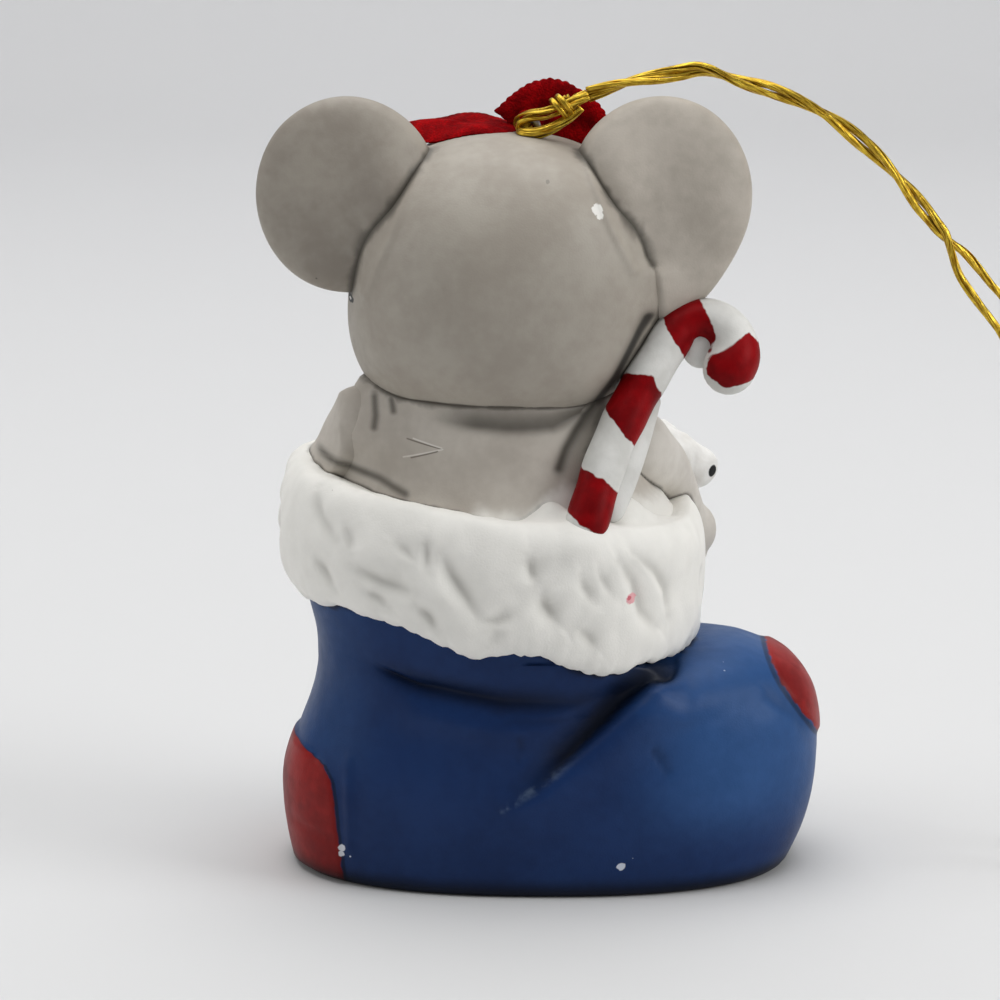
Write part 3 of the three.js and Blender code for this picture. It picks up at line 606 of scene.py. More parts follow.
def make_wash_and_painted_shade():
    """Dark wash and painted shade, strongest close to neighbouring parts and in creases, and uneven in
    strength.
    """
    group, entry, leave = new_group(
        "wash_and_painted_shade",
        [("Paint", "Color", (1, 1, 1, 1)), ("Wash", "Color", (0, 0, 0, 1)), ("Gap", "Float", 3.0),
         ("Crease", "Float", 0.0), ("Reach", "Float", 1.0), ("Strength", "Float", 0.8)],
        [("Color", "Color")],
    )
    uneven = stepped(group, noise_value(group, 420.0, 3.0), 0.3, 0.7, 0.55, 1.3)
    share = maths(group, "DIVIDE", entry["Gap"], times(group, entry["Reach"], uneven))
    close = stepped(group, share, 0.0, 1.0, 1.0, 0.0)
    most = maths(group, "MAXIMUM", maths(group, "POWER", close, 1.5), entry["Crease"])
    darkened = maths(group, "MULTIPLY", most, entry["Strength"], clamp=True)
    group.links.new(mixed(group, darkened, entry["Paint"], entry["Wash"]), leave["Color"])
    return group


def make_paint_edge():
    """A hand-painted edge: where a stored distance in millimetres is above zero, with a slight wobble."""
    group, entry, leave = new_group(
        "paint_edge",
        [("Distance", "Float", 0.0), ("Wobble", "Float", 0.3), ("Softness", "Float", 0.08)],
        [("Mask", "Float")],
    )
    wander = maths(group, "SUBTRACT", noise_value(group, 700.0), 0.5)
    moved = maths(group, "ADD", entry["Distance"], times(group, wander, entry["Wobble"]))
    low = times(group, entry["Softness"], -1.0)
    group.links.new(stepped(group, moved, low, entry["Softness"]), leave["Mask"])
    return group


def make_small_spot():
    """One ragged spot at a place: a chip, a speck or a dab of paint.

    Through weighs the depth: a small value lets the spot reach far along y.
    """
    group, entry, leave = new_group(
        "small_spot",
        [("Place", "Vector", (0, 0, 0)), ("Radius", "Float", 0.0005), ("Ragged", "Float", 0.5),
         ("Through", "Float", 0.15)],
        [("Mask", "Float")],
    )
    out = vector_maths(group, "SUBTRACT", object_place(group), entry["Place"])
    weights = add(group, "ShaderNodeCombineXYZ", {"X": 1.0, "Y": entry["Through"], "Z": 1.0})
    flat = vector_maths(group, "MULTIPLY", out, weights.outputs["Vector"])
    away = vector_maths(group, "LENGTH", flat)
    wander = maths(group, "SUBTRACT", noise_value(group, 2600.0), 0.5)
    pushed = times(group, times(group, wander, entry["Ragged"]), entry["Radius"])
    moved = maths(group, "ADD", away, times(group, pushed, 3.0))
    near = times(group, entry["Radius"], 0.75)
    group.links.new(stepped(group, moved, near, entry["Radius"], 1.0, 0.0), leave["Mask"])
    return group


def make_fine_scratch():
    """A fine scratch between two places."""
    group, entry, leave = new_group(
        "fine_scratch",
        [("Start", "Vector", (0, 0, 0)), ("End", "Vector", (0, 0, 0)), ("Width", "Float", 0.0001)],
        [("Mask", "Float")],
    )

    def flat_step(end):
        step = vector_maths(group, "SUBTRACT", end, entry["Start"])
        return vector_maths(group, "MULTIPLY", step, (1.0, 0.04, 1.0))

    along = flat_step(entry["End"])
    out = flat_step(object_place(group))
    reached = vector_maths(group, "DOT_PRODUCT", out, along)
    whole = vector_maths(group, "DOT_PRODUCT", along, along)
    share = maths(group, "DIVIDE", reached, whole, clamp=True)
    nearest = add(group, "ShaderNodeVectorMath", {0: along, "Scale": share}, operation="SCALE")
    away = vector_maths(group, "DISTANCE", out, nearest.outputs["Vector"])
    broken = stepped(group, noise_value(group, 3000.0), 0.2, 0.4)
    line = stepped(group, away, 0.0, entry["Width"], 1.0, 0.0)
    group.links.new(times(group, line, broken), leave["Mask"])
    return group


def make_fine_specks():
    """Sparse pin-point specks: dust, pin holes and rubbed paint."""
    group, entry, leave = new_group(
        "fine_specks",
        [("Scale", "Float", 260.0), ("Size", "Float", 0.05), ("Share", "Float", 0.2)],
        [("Mask", "Float")],
    )
    cells = add(group, "ShaderNodeTexVoronoi", {"Vector": object_place(group), "Scale": entry["Scale"]})
    chosen = add(group, "ShaderNodeSeparateColor", {"Color": cells.outputs["Color"]}).outputs["Red"]
    kept = maths(group, "LESS_THAN", chosen, entry["Share"])
    size = times(group, entry["Size"], maths(group, "ADD", times(group, chosen, 3.0), 0.4))
    dot = stepped(group, cells.outputs["Distance"], times(group, size, 0.6), size, 1.0, 0.0)
    group.links.new(times(group, dot, kept), leave["Mask"])
    return group


bisque_grain = make_bisque_grain()
wash_and_painted_shade = make_wash_and_painted_shade()
paint_edge = make_paint_edge()
small_spot = make_small_spot()
fine_scratch = make_fine_scratch()
fine_specks = make_fine_specks()


# Materials

def new_material(name, **plain):
    """A material with one Principled shader; plain values go straight on its sockets."""
    material = bpy.data.materials.new(name)
    material.use_nodes = True
    tree = material.node_tree
    shader = tree.nodes["Principled BSDF"]
    for key, value in plain.items():
        shader.inputs[key.replace("_", " ")].default_value = value
    return material, tree, shader


def finish_surface(tree, shader, color, rough, height, depth):
    """Joins colour, roughness and a bump of this depth in millimetres to the shader."""
    bump = add(tree, "ShaderNodeBump", {"Height": height, "Strength": 1.0, "Distance": depth * MM})
    tree.links.new(color, shader.inputs["Base Color"])
    tree.links.new(rough, shader.inputs["Roughness"])
    tree.links.new(bump.outputs["Normal"], shader.inputs["Normal"])


GREY = srgb(170, 163, 152)
GREY_DARK = srgb(157, 149, 138)
WASH_AND_SHADE = srgb(70, 66, 58)
CHIP_WHITE = srgb(232, 230, 224)
FUR_WHITE = srgb(244, 242, 236)
FUR_SHADE = srgb(158, 156, 149)
PINK = srgb(214, 150, 146)

BODY_GREYS = (srgb(180, 172, 162), srgb(198, 191, 181))
# The right arm and right ear are painted lighter and the left ear darker than the body's grey: painted light
# from the right.
LIT_ARM_GREYS = (srgb(198, 192, 183), srgb(214, 209, 201))
SHADED_EAR_GREYS = (srgb(144, 136, 126), srgb(162, 155, 144))
LIT_EAR_GREYS = (srgb(168, 160, 149), srgb(188, 180, 169))
BARE_WHITES = (srgb(214, 209, 200), srgb(228, 225, 218))
BOOT_CHIP = srgb(214, 216, 222)
BOOT_SPECK = srgb(190, 198, 214)
SCRATCH_WIDTH = 0.13


def in_frame(*millimetres):
    return tuple((np.asarray(millimetres) + SHIFT) * MM)


def coated(tree, color, mask, paint, strength):
    """Lays paint over a colour where the mask is, thinned by its strength."""
    return mixed(tree, times(tree, mask, strength), color, paint)


def painted(tree, name, wobble, softness):
    """The mask of a painted patch whose distances are stored under this name."""
    return use(tree, paint_edge, Distance=mark(tree, name), Wobble=wobble, Softness=softness)["Mask"]


def with_wash_and_shade(tree, paint, wash, reach, strength):
    """Paint with wash and painted shade in the piece's gaps and creases."""
    gap, crease = mark(tree, "gap"), mark(tree, "crease")
    return use(tree, wash_and_painted_shade, Paint=paint, Wash=wash, Gap=gap, Crease=crease,
               Reach=reach, Strength=strength)["Color"]


def specks(tree, scale, size, share):
    return use(tree, fine_specks, Scale=scale, Size=size, Share=share)["Mask"]


def spotted(tree, color, spots):
    """Adds ragged spots: each is a place and a radius in millimetres and a colour."""
    for place, radius, paint in spots:
        mask = use(tree, small_spot, Place=in_frame(*place), Radius=radius * MM, Ragged=0.25)["Mask"]
        color = mixed(tree, mask, color, paint)
    return color


def edge_shadow(tree, name):
    """A narrow line of painted shadow and wash just outside a painted edge."""
    away = maths(tree, "ABSOLUTE", maths(tree, "ADD", mark(tree, name), 0.12))
    return stepped(tree, away, 0.05, 0.22, 1.0, 0.0)


def grey_coat(tree, dark=GREY_DARK, light=GREY):
    """Grey paint with its mottling, wash, and painted shade in gaps and creases: returns colour, roughness
    and height.
    """
    grain = use(tree, bisque_grain)
    color = with_wash_and_shade(tree, mixed(tree, grain["Mottle"], dark, light), WASH_AND_SHADE, 1.1, 0.85)
    pits = specks(tree, 230.0, 0.05, 0.16)
    color = coated(tree, color, pits, WASH_AND_SHADE, 0.55)
    color = coated(tree, color, specks(tree, 310.0, 0.035, 0.1), CHIP_WHITE, 0.8)
    rough = stepped(tree, grain["Mottle"], 0.0, 1.0, 0.62, 0.5)
    height = maths(tree, "SUBTRACT", times(tree, grain["Tooth"], 0.25), pits)
    return color, rough, height


def make_grey_bisque(name, greys, scratches=()):
    """Grey paint on the torso and arms, which white paint has caught where the fur begins."""
    material, tree, shader = new_material(name, Specular_IOR_Level=0.3)
    color, rough, height = grey_coat(tree, *greys)
    for start, end, paint in scratches:
        ends = {"Start": in_frame(*start), "End": in_frame(*end)}
        mask = use(tree, fine_scratch, Width=SCRATCH_WIDTH * MM, **ends)["Mask"]
        color = mixed(tree, mask, color, paint)
    color = coated(tree, color, painted(tree, "frost", 1.2, 0.9), FUR_WHITE, 0.9)
    finish_surface(tree, shader, color, rough, height, 0.06)
    return material


def make_face_paint():
    """The head's grey coat, with the painted face on its front."""
    material, tree, shader = new_material("head_paint", Specular_IOR_Level=0.4)
    color, rough, height = grey_coat(tree)
    # Painted shade along the cane's left edge.
    beside_cane = stepped(tree, mark(tree, "crease"), 0.5, 1.0, 0.0, 0.85)
    color = mixed(tree, beside_cane, color, srgb(34, 31, 28))
    color = spotted(tree, color, [
        ((4.0, -10.0, 65.85), 0.55, CHIP_WHITE),
        ((4.3, -10.0, 65.25), 0.4, CHIP_WHITE),
        ((-0.6, -10.3, 68.4), 0.2, srgb(140, 135, 126)),
        ((-19.2, -4.5, 56.4), 0.45, srgb(6, 6, 6)),
        ((-19.2, -4.5, 56.4), 0.15, CHIP_WHITE),
    ])
    color = coated(tree, color, painted(tree, "cheek", 0.5, 2.2), PINK, 0.5)
    color = coated(tree, color, painted(tree, "muzzle", 0.3, 0.9), FUR_WHITE, 0.75)
    for name, paint in (("mouth", srgb(70, 40, 38)), ("eye", srgb(18, 16, 16)),
                        ("glint", srgb(245, 245, 245)), ("nose", srgb(196, 96, 100))):
        color = mixed(tree, painted(tree, name, 0.04, 0.12), color, paint)
    finish_surface(tree, shader, color, rough, height, 0.06)
    return material


def make_ear_paint(name, greys):
    """Grey paint with a pink dish on the front."""
    material, tree, shader = new_material(name, Specular_IOR_Level=0.3)
    color, rough, height = grey_coat(tree, *greys)
    color = coated(tree, color, painted(tree, "dish", 0.5, 0.5), PINK, 0.8)
    finish_surface(tree, shader, color, rough, height, 0.06)
    return material


def make_cuff_paint():
    """Matt white paint over sculpted fur, with painted shade in the partings and one pink dab."""
    material, tree, shader = new_material("cuff_paint", Specular_IOR_Level=0.35)
    grain = use(tree, bisque_grain, Patch_Size=220.0)
    white = mixed(tree, grain["Mottle"], srgb(237, 235, 229), FUR_WHITE)
    color = spotted(tree, with_wash_and_shade(tree, white, FUR_SHADE, 0.7, 0.6), [
        ((7.3, -14.3, 29.5), 0.55, srgb(226, 166, 170)),
        ((7.1, -14.3, 29.6), 0.24, srgb(206, 104, 116)),
    ])
    color = coated(tree, color, specks(tree, 200.0, 0.04, 0.08), srgb(150, 140, 128), 0.5)
    rough = stepped(tree, grain["Mottle"], 0.0, 1.0, 0.72, 0.6)
    finish_surface(tree, shader, color, rough, grain["Tooth"], 0.025)
    return material


def make_boot_paint():
    """Satin blue paint with red heel and toe, bare white porcelain inside and under the rim, painted
    highlights on the toe, heel and a ridge, and painted shade in the folds, under the cuff and along the rim.
    """
    material, tree, shader = new_material("boot_paint", Specular_IOR_Level=0.16)
    grain = use(tree, bisque_grain, Patch_Size=130.0)
    mottle = grain["Mottle"]
    blue = mixed(tree, mottle, srgb(18, 42, 85), srgb(23, 50, 97))
    # Paler blue on the toe and heel is a painted highlight.
    pale = mixed(tree, mottle, srgb(43, 81, 133), srgb(52, 91, 145))
    blue = mixed(tree, mark(tree, "toe_heel_highlight"), blue, pale)
    # Pale blue along the ridge: rubbed paint and a painted highlight.
    worn_and_lit = stepped(tree, noise_value(tree, 800.0, 3.0), 0.35, 0.7)
    blue = coated(tree, blue, times(tree, mark(tree, "ridge"), worn_and_lit), srgb(110, 130, 158), 0.75)
    # Wash and painted shade in the folds and under the cuff's hem.
    blue = with_wash_and_shade(tree, blue, srgb(4, 7, 18), 0.8, 0.92)
    red = mixed(tree, mottle, srgb(112, 18, 18), srgb(150, 30, 28))
    # Painted shade in the folds over the red caps too.
    red = coated(tree, red, mark(tree, "crease"), srgb(50, 6, 8), 0.8)
    caps = [painted(tree, name, 0.5, 0.07) for name in ("toe", "heel")]
    color = mixed(tree, maths(tree, "MAXIMUM", *caps), blue, red)
    lines = [edge_shadow(tree, name) for name in ("toe", "heel")]
    color = coated(tree, color, maths(tree, "MAXIMUM", *lines), srgb(16, 16, 30), 0.6)
    color = coated(tree, color, specks(tree, 240.0, 0.035, 0.2), srgb(170, 185, 205), 0.75)
    color = spotted(tree, color, [
        ((-20.2, -11.2, 3.9), 0.4, BOOT_CHIP),
        ((-20.26, -11.2, 3.3), 0.34, BOOT_CHIP),
        ((-19.4, -11.5, 3.2), 0.13, BOOT_SPECK),
        ((6.49, -14.6, 3.31), 0.44, srgb(206, 212, 224)),
        ((-2.0, -14.6, 8.0), 0.14, BOOT_SPECK),
    ])
    # Painted shadow along the lower rim, where the boot meets the floor.
    color = coated(tree, color, mark(tree, "rim"), srgb(5, 7, 14), 0.85)
    inside = stepped(tree, mark(tree, "inside"), 0.4, 0.6)
    color = mixed(tree, inside, color, mixed(tree, mottle, *BARE_WHITES))
    satin = stepped(tree, mottle, 0.0, 1.0, 0.46, 0.38)
    rough = maths(tree, "ADD", satin, times(tree, inside, 0.35))
    finish_surface(tree, shader, color, rough, grain["Tooth"], 0.018)
    return material


def make_cane_paint():
    """White paint with red stripes, which are a little smoother, and wash with painted shade where the cane
    lies close to the head and ear.
    """
    material, tree, shader = new_material("cane_paint", Specular_IOR_Level=0.08)
    grain = use(tree, bisque_grain, Patch_Size=300.0)
    white = mixed(tree, grain["Mottle"], srgb(206, 205, 200), srgb(224, 223, 219))
    white = with_wash_and_shade(tree, white, srgb(120, 116, 108), 0.6, 0.7)
    red = mixed(tree, grain["Mottle"], srgb(104, 2, 6), srgb(142, 5, 12))
    stripe = painted(tree, "stripe", 0.7, 0.07)
    rough = maths(tree, "SUBTRACT", 0.6, times(tree, stripe, 0.15))
    finish_surface(tree, shader, mixed(tree, stripe, white, red), rough, grain["Tooth"], 0.02)
    return material


def make_toy_paint():
    """Matt white paint with a dark nose and eyes, and painted shade in the hollows of the fur."""
    material, tree, shader = new_material("toy_paint", Specular_IOR_Level=0.35)
    grain = use(tree, bisque_grain, Patch_Size=300.0)
    white = mixed(tree, grain["Mottle"], srgb(224, 222, 217), srgb(240, 239, 236))
    white = with_wash_and_shade(tree, white, FUR_SHADE, 0.6, 0.45)
    color = mixed(tree, painted(tree, "dark", 0.1, 0.07), white, srgb(14, 13, 14))
    rough = stepped(tree, grain["Mottle"], 0.0, 1.0, 0.75, 0.62)
    finish_surface(tree, shader, color, rough, grain["Tooth"], 0.03)
    return material


def make_velvet():
    """Red pile, crushed here and there."""
    material, tree, shader = new_material(
        "red_velvet", Specular_IOR_Level=0.05, Sheen_Weight=0.06, Sheen_Roughness=0.4,
        Sheen_Tint=srgb(230, 20, 24),
    )
    pile = noise_value(tree, 5200.0)
    crush = stepped(tree, noise_value(tree, 520.0, 3.0), 0.3, 0.7)
    deep = mixed(tree, crush, srgb(104, 0, 4), srgb(168, 4, 10))
    shaded = mixed(tree, 0.45, deep, srgb(60, 0, 3))
    color = mixed(tree, stepped(tree, pile, 0.3, 0.7), shaded, deep)
    rough = stepped(tree, pile, 0.0, 1.0, 0.85, 0.98)
    finish_surface(tree, shader, color, rough, pile, 0.12)
    return material


def make_gold_foil():
    """Flat metal foil over thread: bright strips with dark streaks along them, which are painted highlights
    and shade.
    """
    material, tree, shader = new_material("gold_foil", Metallic=1.0)
    along = times(tree, mark(tree, "along"), 0.35)
    across = times(tree, mark(tree, "round"), 2.2)
    place = add(tree, "ShaderNodeCombineXYZ", {"X": along, "Y": across}).outputs["Vector"]
    streak = noise_value(tree, 1.6, 3.0, place)
    wrinkle = noise_value(tree, 1500.0, 3.0)
    # Bright and dark streaks in the foil's colour are painted highlights and shade along the strands.
    bright = mixed(tree, stepped(tree, streak, 0.35, 0.62), srgb(150, 100, 10), srgb(255, 222, 84))
    dull = mixed(tree, 0.35, bright, srgb(110, 68, 4))
    color = mixed(tree, stepped(tree, wrinkle, 0.3, 0.7), dull, bright)
    rough = stepped(tree, wrinkle, 0.3, 0.7, 0.4, 0.26)
    finish_surface(tree, shader, color, rough, maths(tree, "ADD", streak, wrinkle), 0.05)
    return material


def make_steel():
    """Plain drawn wire with brownish stains."""
    material, tree, shader = new_material("drawn_wire", Metallic=1.0)
    grain = noise_value(tree, 1800.0, 3.0)
    color = mixed(tree, stepped(tree, grain, 0.3, 0.75), srgb(150, 150, 150), srgb(200, 200, 202))
    stain = stepped(tree, noise_value(tree, 300.0, 3.0), 0.55, 0.75)
    color = coated(tree, color, stain, srgb(104, 88, 70), 0.45)
    rough = stepped(tree, grain, 0.0, 1.0, 0.5, 0.28)
    finish_surface(tree, shader, color, rough, grain, 0.015)
    return material


def make_bead_wood():
    """Waxed wood with its grain along the bore."""
    material, tree, shader = new_material("bead_wood", Specular_IOR_Level=0.4)
    place = vector_maths(tree, "MULTIPLY", object_place(tree), (1.0, 1.0, 0.12))
    wave = {"Vector": place, "Scale": 260.0, "Distortion": 6.0, "Detail": 3.0}
    rings = add(tree, "ShaderNodeTexWave", wave, wave_type="RINGS").outputs["Fac"]
    fibre = noise_value(tree, 3800.0, 3.0, place)
    color = mixed(tree, rings, srgb(176, 126, 76), srgb(206, 160, 108))
    color = mixed(tree, stepped(tree, fibre, 0.5, 0.75, 0.0, 0.4), color, srgb(120, 78, 44))
    rough = stepped(tree, fibre, 0.0, 1.0, 0.42, 0.58)
    finish_surface(tree, shader, color, rough, fibre, 0.03)
    return material


# Boot

def boot_back(z):
    ankle_x = HEEL_X + ANKLE_TUCK
    sole = HEEL_X + SOLE_TUCK * (1 - np.minimum(z, HEEL_LEVEL) / HEEL_LEVEL) ** 2
    heel = HEEL_X + ANKLE_TUCK * ease((z - HEEL_LEVEL) / (ANKLE_LEVEL - HEEL_LEVEL))
    shaft = ankle_x + (SHAFT_BACK - ankle_x) * ease((z - ANKLE_LEVEL) / (SHAFT_TOP - ANKLE_LEVEL))
    return np.where(z < HEEL_LEVEL, sole, np.where(z < ANKLE_LEVEL, heel, shaft))


def boot_front(z, inset):
    lift = TOE_HEIGHT - TOE_LEVEL - inset
    rise = np.where(z > TOE_LEVEL, (z - TOE_LEVEL) / lift, (TOE_LEVEL - z) / TOE_UNDER)
    bulge = np.clip(1 - rise**TOE_FULLNESS, 0, None) ** (1 / TOE_FULLNESS)
    toe = INSTEP_X + (TOE_LENGTH - inset) * bulge
    shaft = SHAFT_BACK + SHAFT_LENGTH
    drawn_in = (INSTEP_X - shaft) * ease((rise - 0.7) / 0.3) * (z > TOE_LEVEL)
    return np.where(rise >= 1, shaft - inset, toe - drawn_in)


def boot_half(z):
    sole = SOLE_WIDTH / 2 - SOLE_TUCK * (1 - np.minimum(z, HEEL_LEVEL) / HEEL_LEVEL) ** 2
    heel = SOLE_WIDTH + (ANKLE_WIDTH - SOLE_WIDTH) * ease((z - HEEL_LEVEL) / (ANKLE_LEVEL - HEEL_LEVEL))
    shaft = ANKLE_WIDTH + (SHAFT_WIDTH - ANKLE_WIDTH) * ease((z - ANKLE_LEVEL) / (SHAFT_TOP - ANKLE_LEVEL))
    return np.where(z < HEEL_LEVEL, sole, np.where(z < ANKLE_LEVEL, heel, shaft) / 2)


def boot_ring(angle, z, inset):
    """One level section of the boot; angle 0 points to the toe."""
    z = np.asarray(z, float)
    middle = SHAFT_X * ease(z / SHAFT_TOP)
    across = spread(np.cos(angle), 2 / BOOT_FULLNESS)
    reach = np.where(across > 0, boot_front(z, inset) - middle, middle - boot_back(z) - inset)
    y = (boot_half(z) - inset) * spread(np.sin(angle), 2 / BOOT_FULLNESS)
    return np.stack(np.broadcast_arrays(middle + across * reach, y, z), axis=-1)


# Pressed folds on the boot's side: a line in x and z, its depth from start to end, and its two widths
BOOT_FOLDS = [
    ([(15.9, 26.5), (10.5, 22.0), (6.8, 19.1), (4.0, 16.5), (1.1, 13.8), (-1.8, 11.0), (-4.0, 9.3)],
     [0.6, 1.3, 2.1, 1.7, 1.1, 0.5, 0.1], 2.6, 0.42),
    ([(-17.3, 22.3), (-15.4, 21.4), (-12.8, 20.5), (-9.0, 19.8), (-5.5, 19.6)],
     [0.1, 0.9, 1.0, 0.7, 0.1], 0.35, 0.5),
    ([(3.6, 17.8), (-0.8, 13.2), (-3.4, 10.5)], [0.5, 0.45, 0.1], 0.5, 0.3),
    ([(-17.5, 22.0), (-11.6, 20.5), (-5.0, 19.3), (1.6, 19.1), (8.2, 20.2)],
     [0.1, 0.9, 0.95, 0.6, 0.6], 1.0, 1.5),
    ([(-4.1, 17.6), (3.0, 17.6)], [0.2, 0.4], 0.6, 0.3),
    ([(-2.0, 16.3), (3.4, 16.0)], [0.1, 0.25], 0.5, 0.3),
    ([(-3.0, 15.9), (-3.2, 13.7)], [0.35, 0.3], 0.35, 0.35),
    ([(20.6, 19.1), (23.7, 15.7), (25.5, 12.2)], [0.25, 0.5, 0.4], 0.5, 1.2),
    ([(9.6, 14.4), (10.9, 12.5)], [0.35, 0.25], 0.35, 0.5),
    ([(-26.0, 5.9), (-23.5, 5.0), (-21.0, 4.8)], [0.3, 0.35, 0.2], 0.4, 0.4),
]
# Painted shade above the head of the main fold, and the ridge below it, where the paint is rubbed and a
# painted highlight lies
FOLD_SHADE = [(14.5, 25.3), (10.5, 21.9), (6.8, 19.0), (4.5, 16.9)]
RUBBED_LIT_RIDGE = [(3.2, 15.4), (-0.6, 11.8), (-4.6, 9.2)]
# Soft swells between the folds: a line in x and z, its height from start to end, and its width
BOOT_SWELLS = [
    ([(15.0, 21.6), (9.0, 18.2), (3.4, 13.4), (-3.0, 8.9)], [0.5, 1.0, 0.6, 0.3], 2.4),
    ([(-13.0, 18.0), (-6.0, 16.8), (0.0, 16.4)], [0.2, 0.35, 0.3], 1.4),
    ([(-19.6, 12.7), (-19.5, 9.0), (-19.4, 3.6)], [0.2, 0.35, 0.25], 0.5),
]
# The heel cap's edge: x at each z
HEEL_EDGE = [
    (0.0, -20.0), (2.9, -20.2), (5.6, -20.6), (8.0, -20.8), (10.4, -21.1), (11.8, -21.9), (12.4, -23.1),
    (12.7, -24.2), (13.3, -27.5), (33.0, -40.0),
]
# The rounded rim that the boot stands on: height and inset
BOOT_RIM = [(0.0, SOLE_ROUND), (0.1, 0.42), (0.35, 0.14)]


def along_line(share, values):
    """A value that runs through these values along a line."""
    return np.interp(share, np.linspace(0, 1, len(values)), values)


def boot_folds(x, z):
    """Depth of the pressed folds, and the painted shade in them."""
    dip = np.zeros_like(x)
    crease = np.zeros_like(x)
    for line, depths, left, right in BOOT_FOLDS:
        away, share, hand = line_distance(x, z, line)
        depth = along_line(share, depths)
        width = np.where(hand > 0, left, right)
        pressed = depth * hump(away, width, 1.4)
        dip = np.maximum(dip, pressed) + 0.3 * np.minimum(dip, pressed)
        crease = np.maximum(crease, np.clip(depth / 1.1, 0, 1) * hump(away, 0.75 * width + 0.1))
    away, _, hand = line_distance(x, z, FOLD_SHADE)
    wide = np.where(hand > 0, 1.3 + 1.7 * ease(x / 8.0), 0.35)
    return dip, np.maximum(crease, hump(away, wide, 3))


def boot_swells(x, z):
    swell = np.zeros_like(x)
    for line, heights, width in BOOT_SWELLS:
        away, share, _ = line_distance(x, z, line)
        swell += along_line(share, heights) * hump(away, width)
    return swell


def heel_patch(x, z):
    """How far in from the heel cap's edge, negative outside it."""
    return np.interp(z, *zip(*HEEL_EDGE)) - x


def toe_patch(x, z):
    """How far in from the toe cap's slanting edge, negative outside it."""
    return (x + 0.62 * z - 34.06) / 1.18


def boot_piece():
    around = 360
    angle = round_steps(around)
    low = TOE_HEIGHT * np.sin(np.linspace(0.035, math.pi / 2, 84))
    levels = np.concatenate([low, np.linspace(TOE_HEIGHT, SHAFT_TOP, 26)[1:]])
    outer = np.stack([boot_ring(angle, z, 0.0) for z in levels])
    normals = ring_normals(outer)
    x, y, z = np.moveaxis(outer, -1, 0)
    side = ease(np.abs(y) / boot_half(z) * 1.5 - 0.25) * np.where(y < 0, 1.0, 0.85)
    dip, crease = boot_folds(x, z)
    away, share, _ = line_distance(x, z, RUBBED_LIT_RIDGE)
    ridge = hump(away, 0.28) * ease(share * 1.6)
    heel = heel_patch(x, z)
    toe = toe_patch(x, z)
    proud = 0.3 * ease(np.maximum(heel, toe) / 0.5 + 0.5)
    uneven = 0.1 * ripple(outer, 6.0, 3.0) + 0.03 * ripple(outer, 1.8, 5.0)
    flare = ease((z - 22.0) / 8.0) * ease((-x - 14.0) / 8.0)
    relief = flare + proud + (boot_swells(x, z) - dip) * side + uneven * ease(z / 2)
    outer = outer + normals * relief[..., None]
    toe_top = ease((x - 9.0) / 4.0) * ease((z - 15.0) / 6.0) * ease((27.0 - z) / 3.5)
    outer[..., 2] -= toe_top * (0.7 * ease((19.0 - x) / 5.0) + 2.2 * (y / 14.0) ** 2)
    rims = np.stack([boot_ring(angle, height, inset) for height, inset in BOOT_RIM])
    ceiling = TOE_HEIGHT - WALL
    toe_room = ceiling * np.sin(np.linspace(math.pi / 2, 0.06, 18))
    inside = np.concatenate([np.linspace(SHAFT_TOP, ceiling + 0.1, 10), toe_room, [0.0]])
    inner = np.stack([boot_ring(angle, level, WALL) for level in inside])
    points, faces = skin(np.concatenate([rims, outer, inner]), joined=True)

    def marked(values, under=0.0, within=0.0):
        below = np.full((len(rims), around), under)
        return np.concatenate([below, values, np.full((len(inner), around), within)])

    bare = marked(np.zeros_like(x), within=1.0)
    bare[0] = 1.0
    # Where the painted highlight lies on the toe and heel.
    toe_highlight = 0.8 * ease((x - 4.0) / 14.0) * ease((z - 3.0) / 8.0)
    heel_highlight = 0.35 * ease((-x - 15.0) / 7.0) * ease((z - 9.0) / 6.0)
    marks = {
        "toe_heel_highlight": marked(toe_highlight + heel_highlight),
        "heel": marked(heel, heel_patch(rims[..., 0], rims[..., 2]), NOWHERE),
        "toe": marked(toe, NOWHERE, NOWHERE),
        "crease": marked(crease * side),
        "ridge": marked(ridge * side),
        # Painted shadow along the bottom edge.
        "rim": marked(ease((2.4 - z) / 2.0), 1.0),
        "inside": bare,
    }
    paint = make_boot_paint()
    return piece("boot_bell_cast", points, faces, paint, "ornament", ["boot_bell"], marks)


# Fur cuff

# The hem's height along the boot, as seen from behind and from in front
HEM_BACK = [
    (-27.0, 27.4), (-23.0, 27.6), (-21.4, 28.0), (-19.0, 27.6), (-16.7, 27.3), (-14.4, 26.5), (-12.5, 25.7),
    (-10.6, 24.9), (-9.2, 24.3), (-7.8, 24.0), (-5.0, 24.2), (-1.3, 24.4), (1.1, 23.5), (4.3, 22.1),
    (6.2, 21.7), (8.1, 22.0), (10.4, 22.5), (12.8, 22.3), (16.5, 21.8),
]
HEM_FRONT = [
    (-27.0, 27.4), (-23.0, 28.4), (-20.0, 27.2), (-17.5, 27.9), (-14.0, 26.2), (-11.0, 26.6), (-8.0, 24.6),
    (-4.5, 25.2), (-1.5, 23.6), (1.5, 24.2), (5.0, 22.8), (8.5, 23.4), (12.5, 22.6), (16.5, 22.4),
]
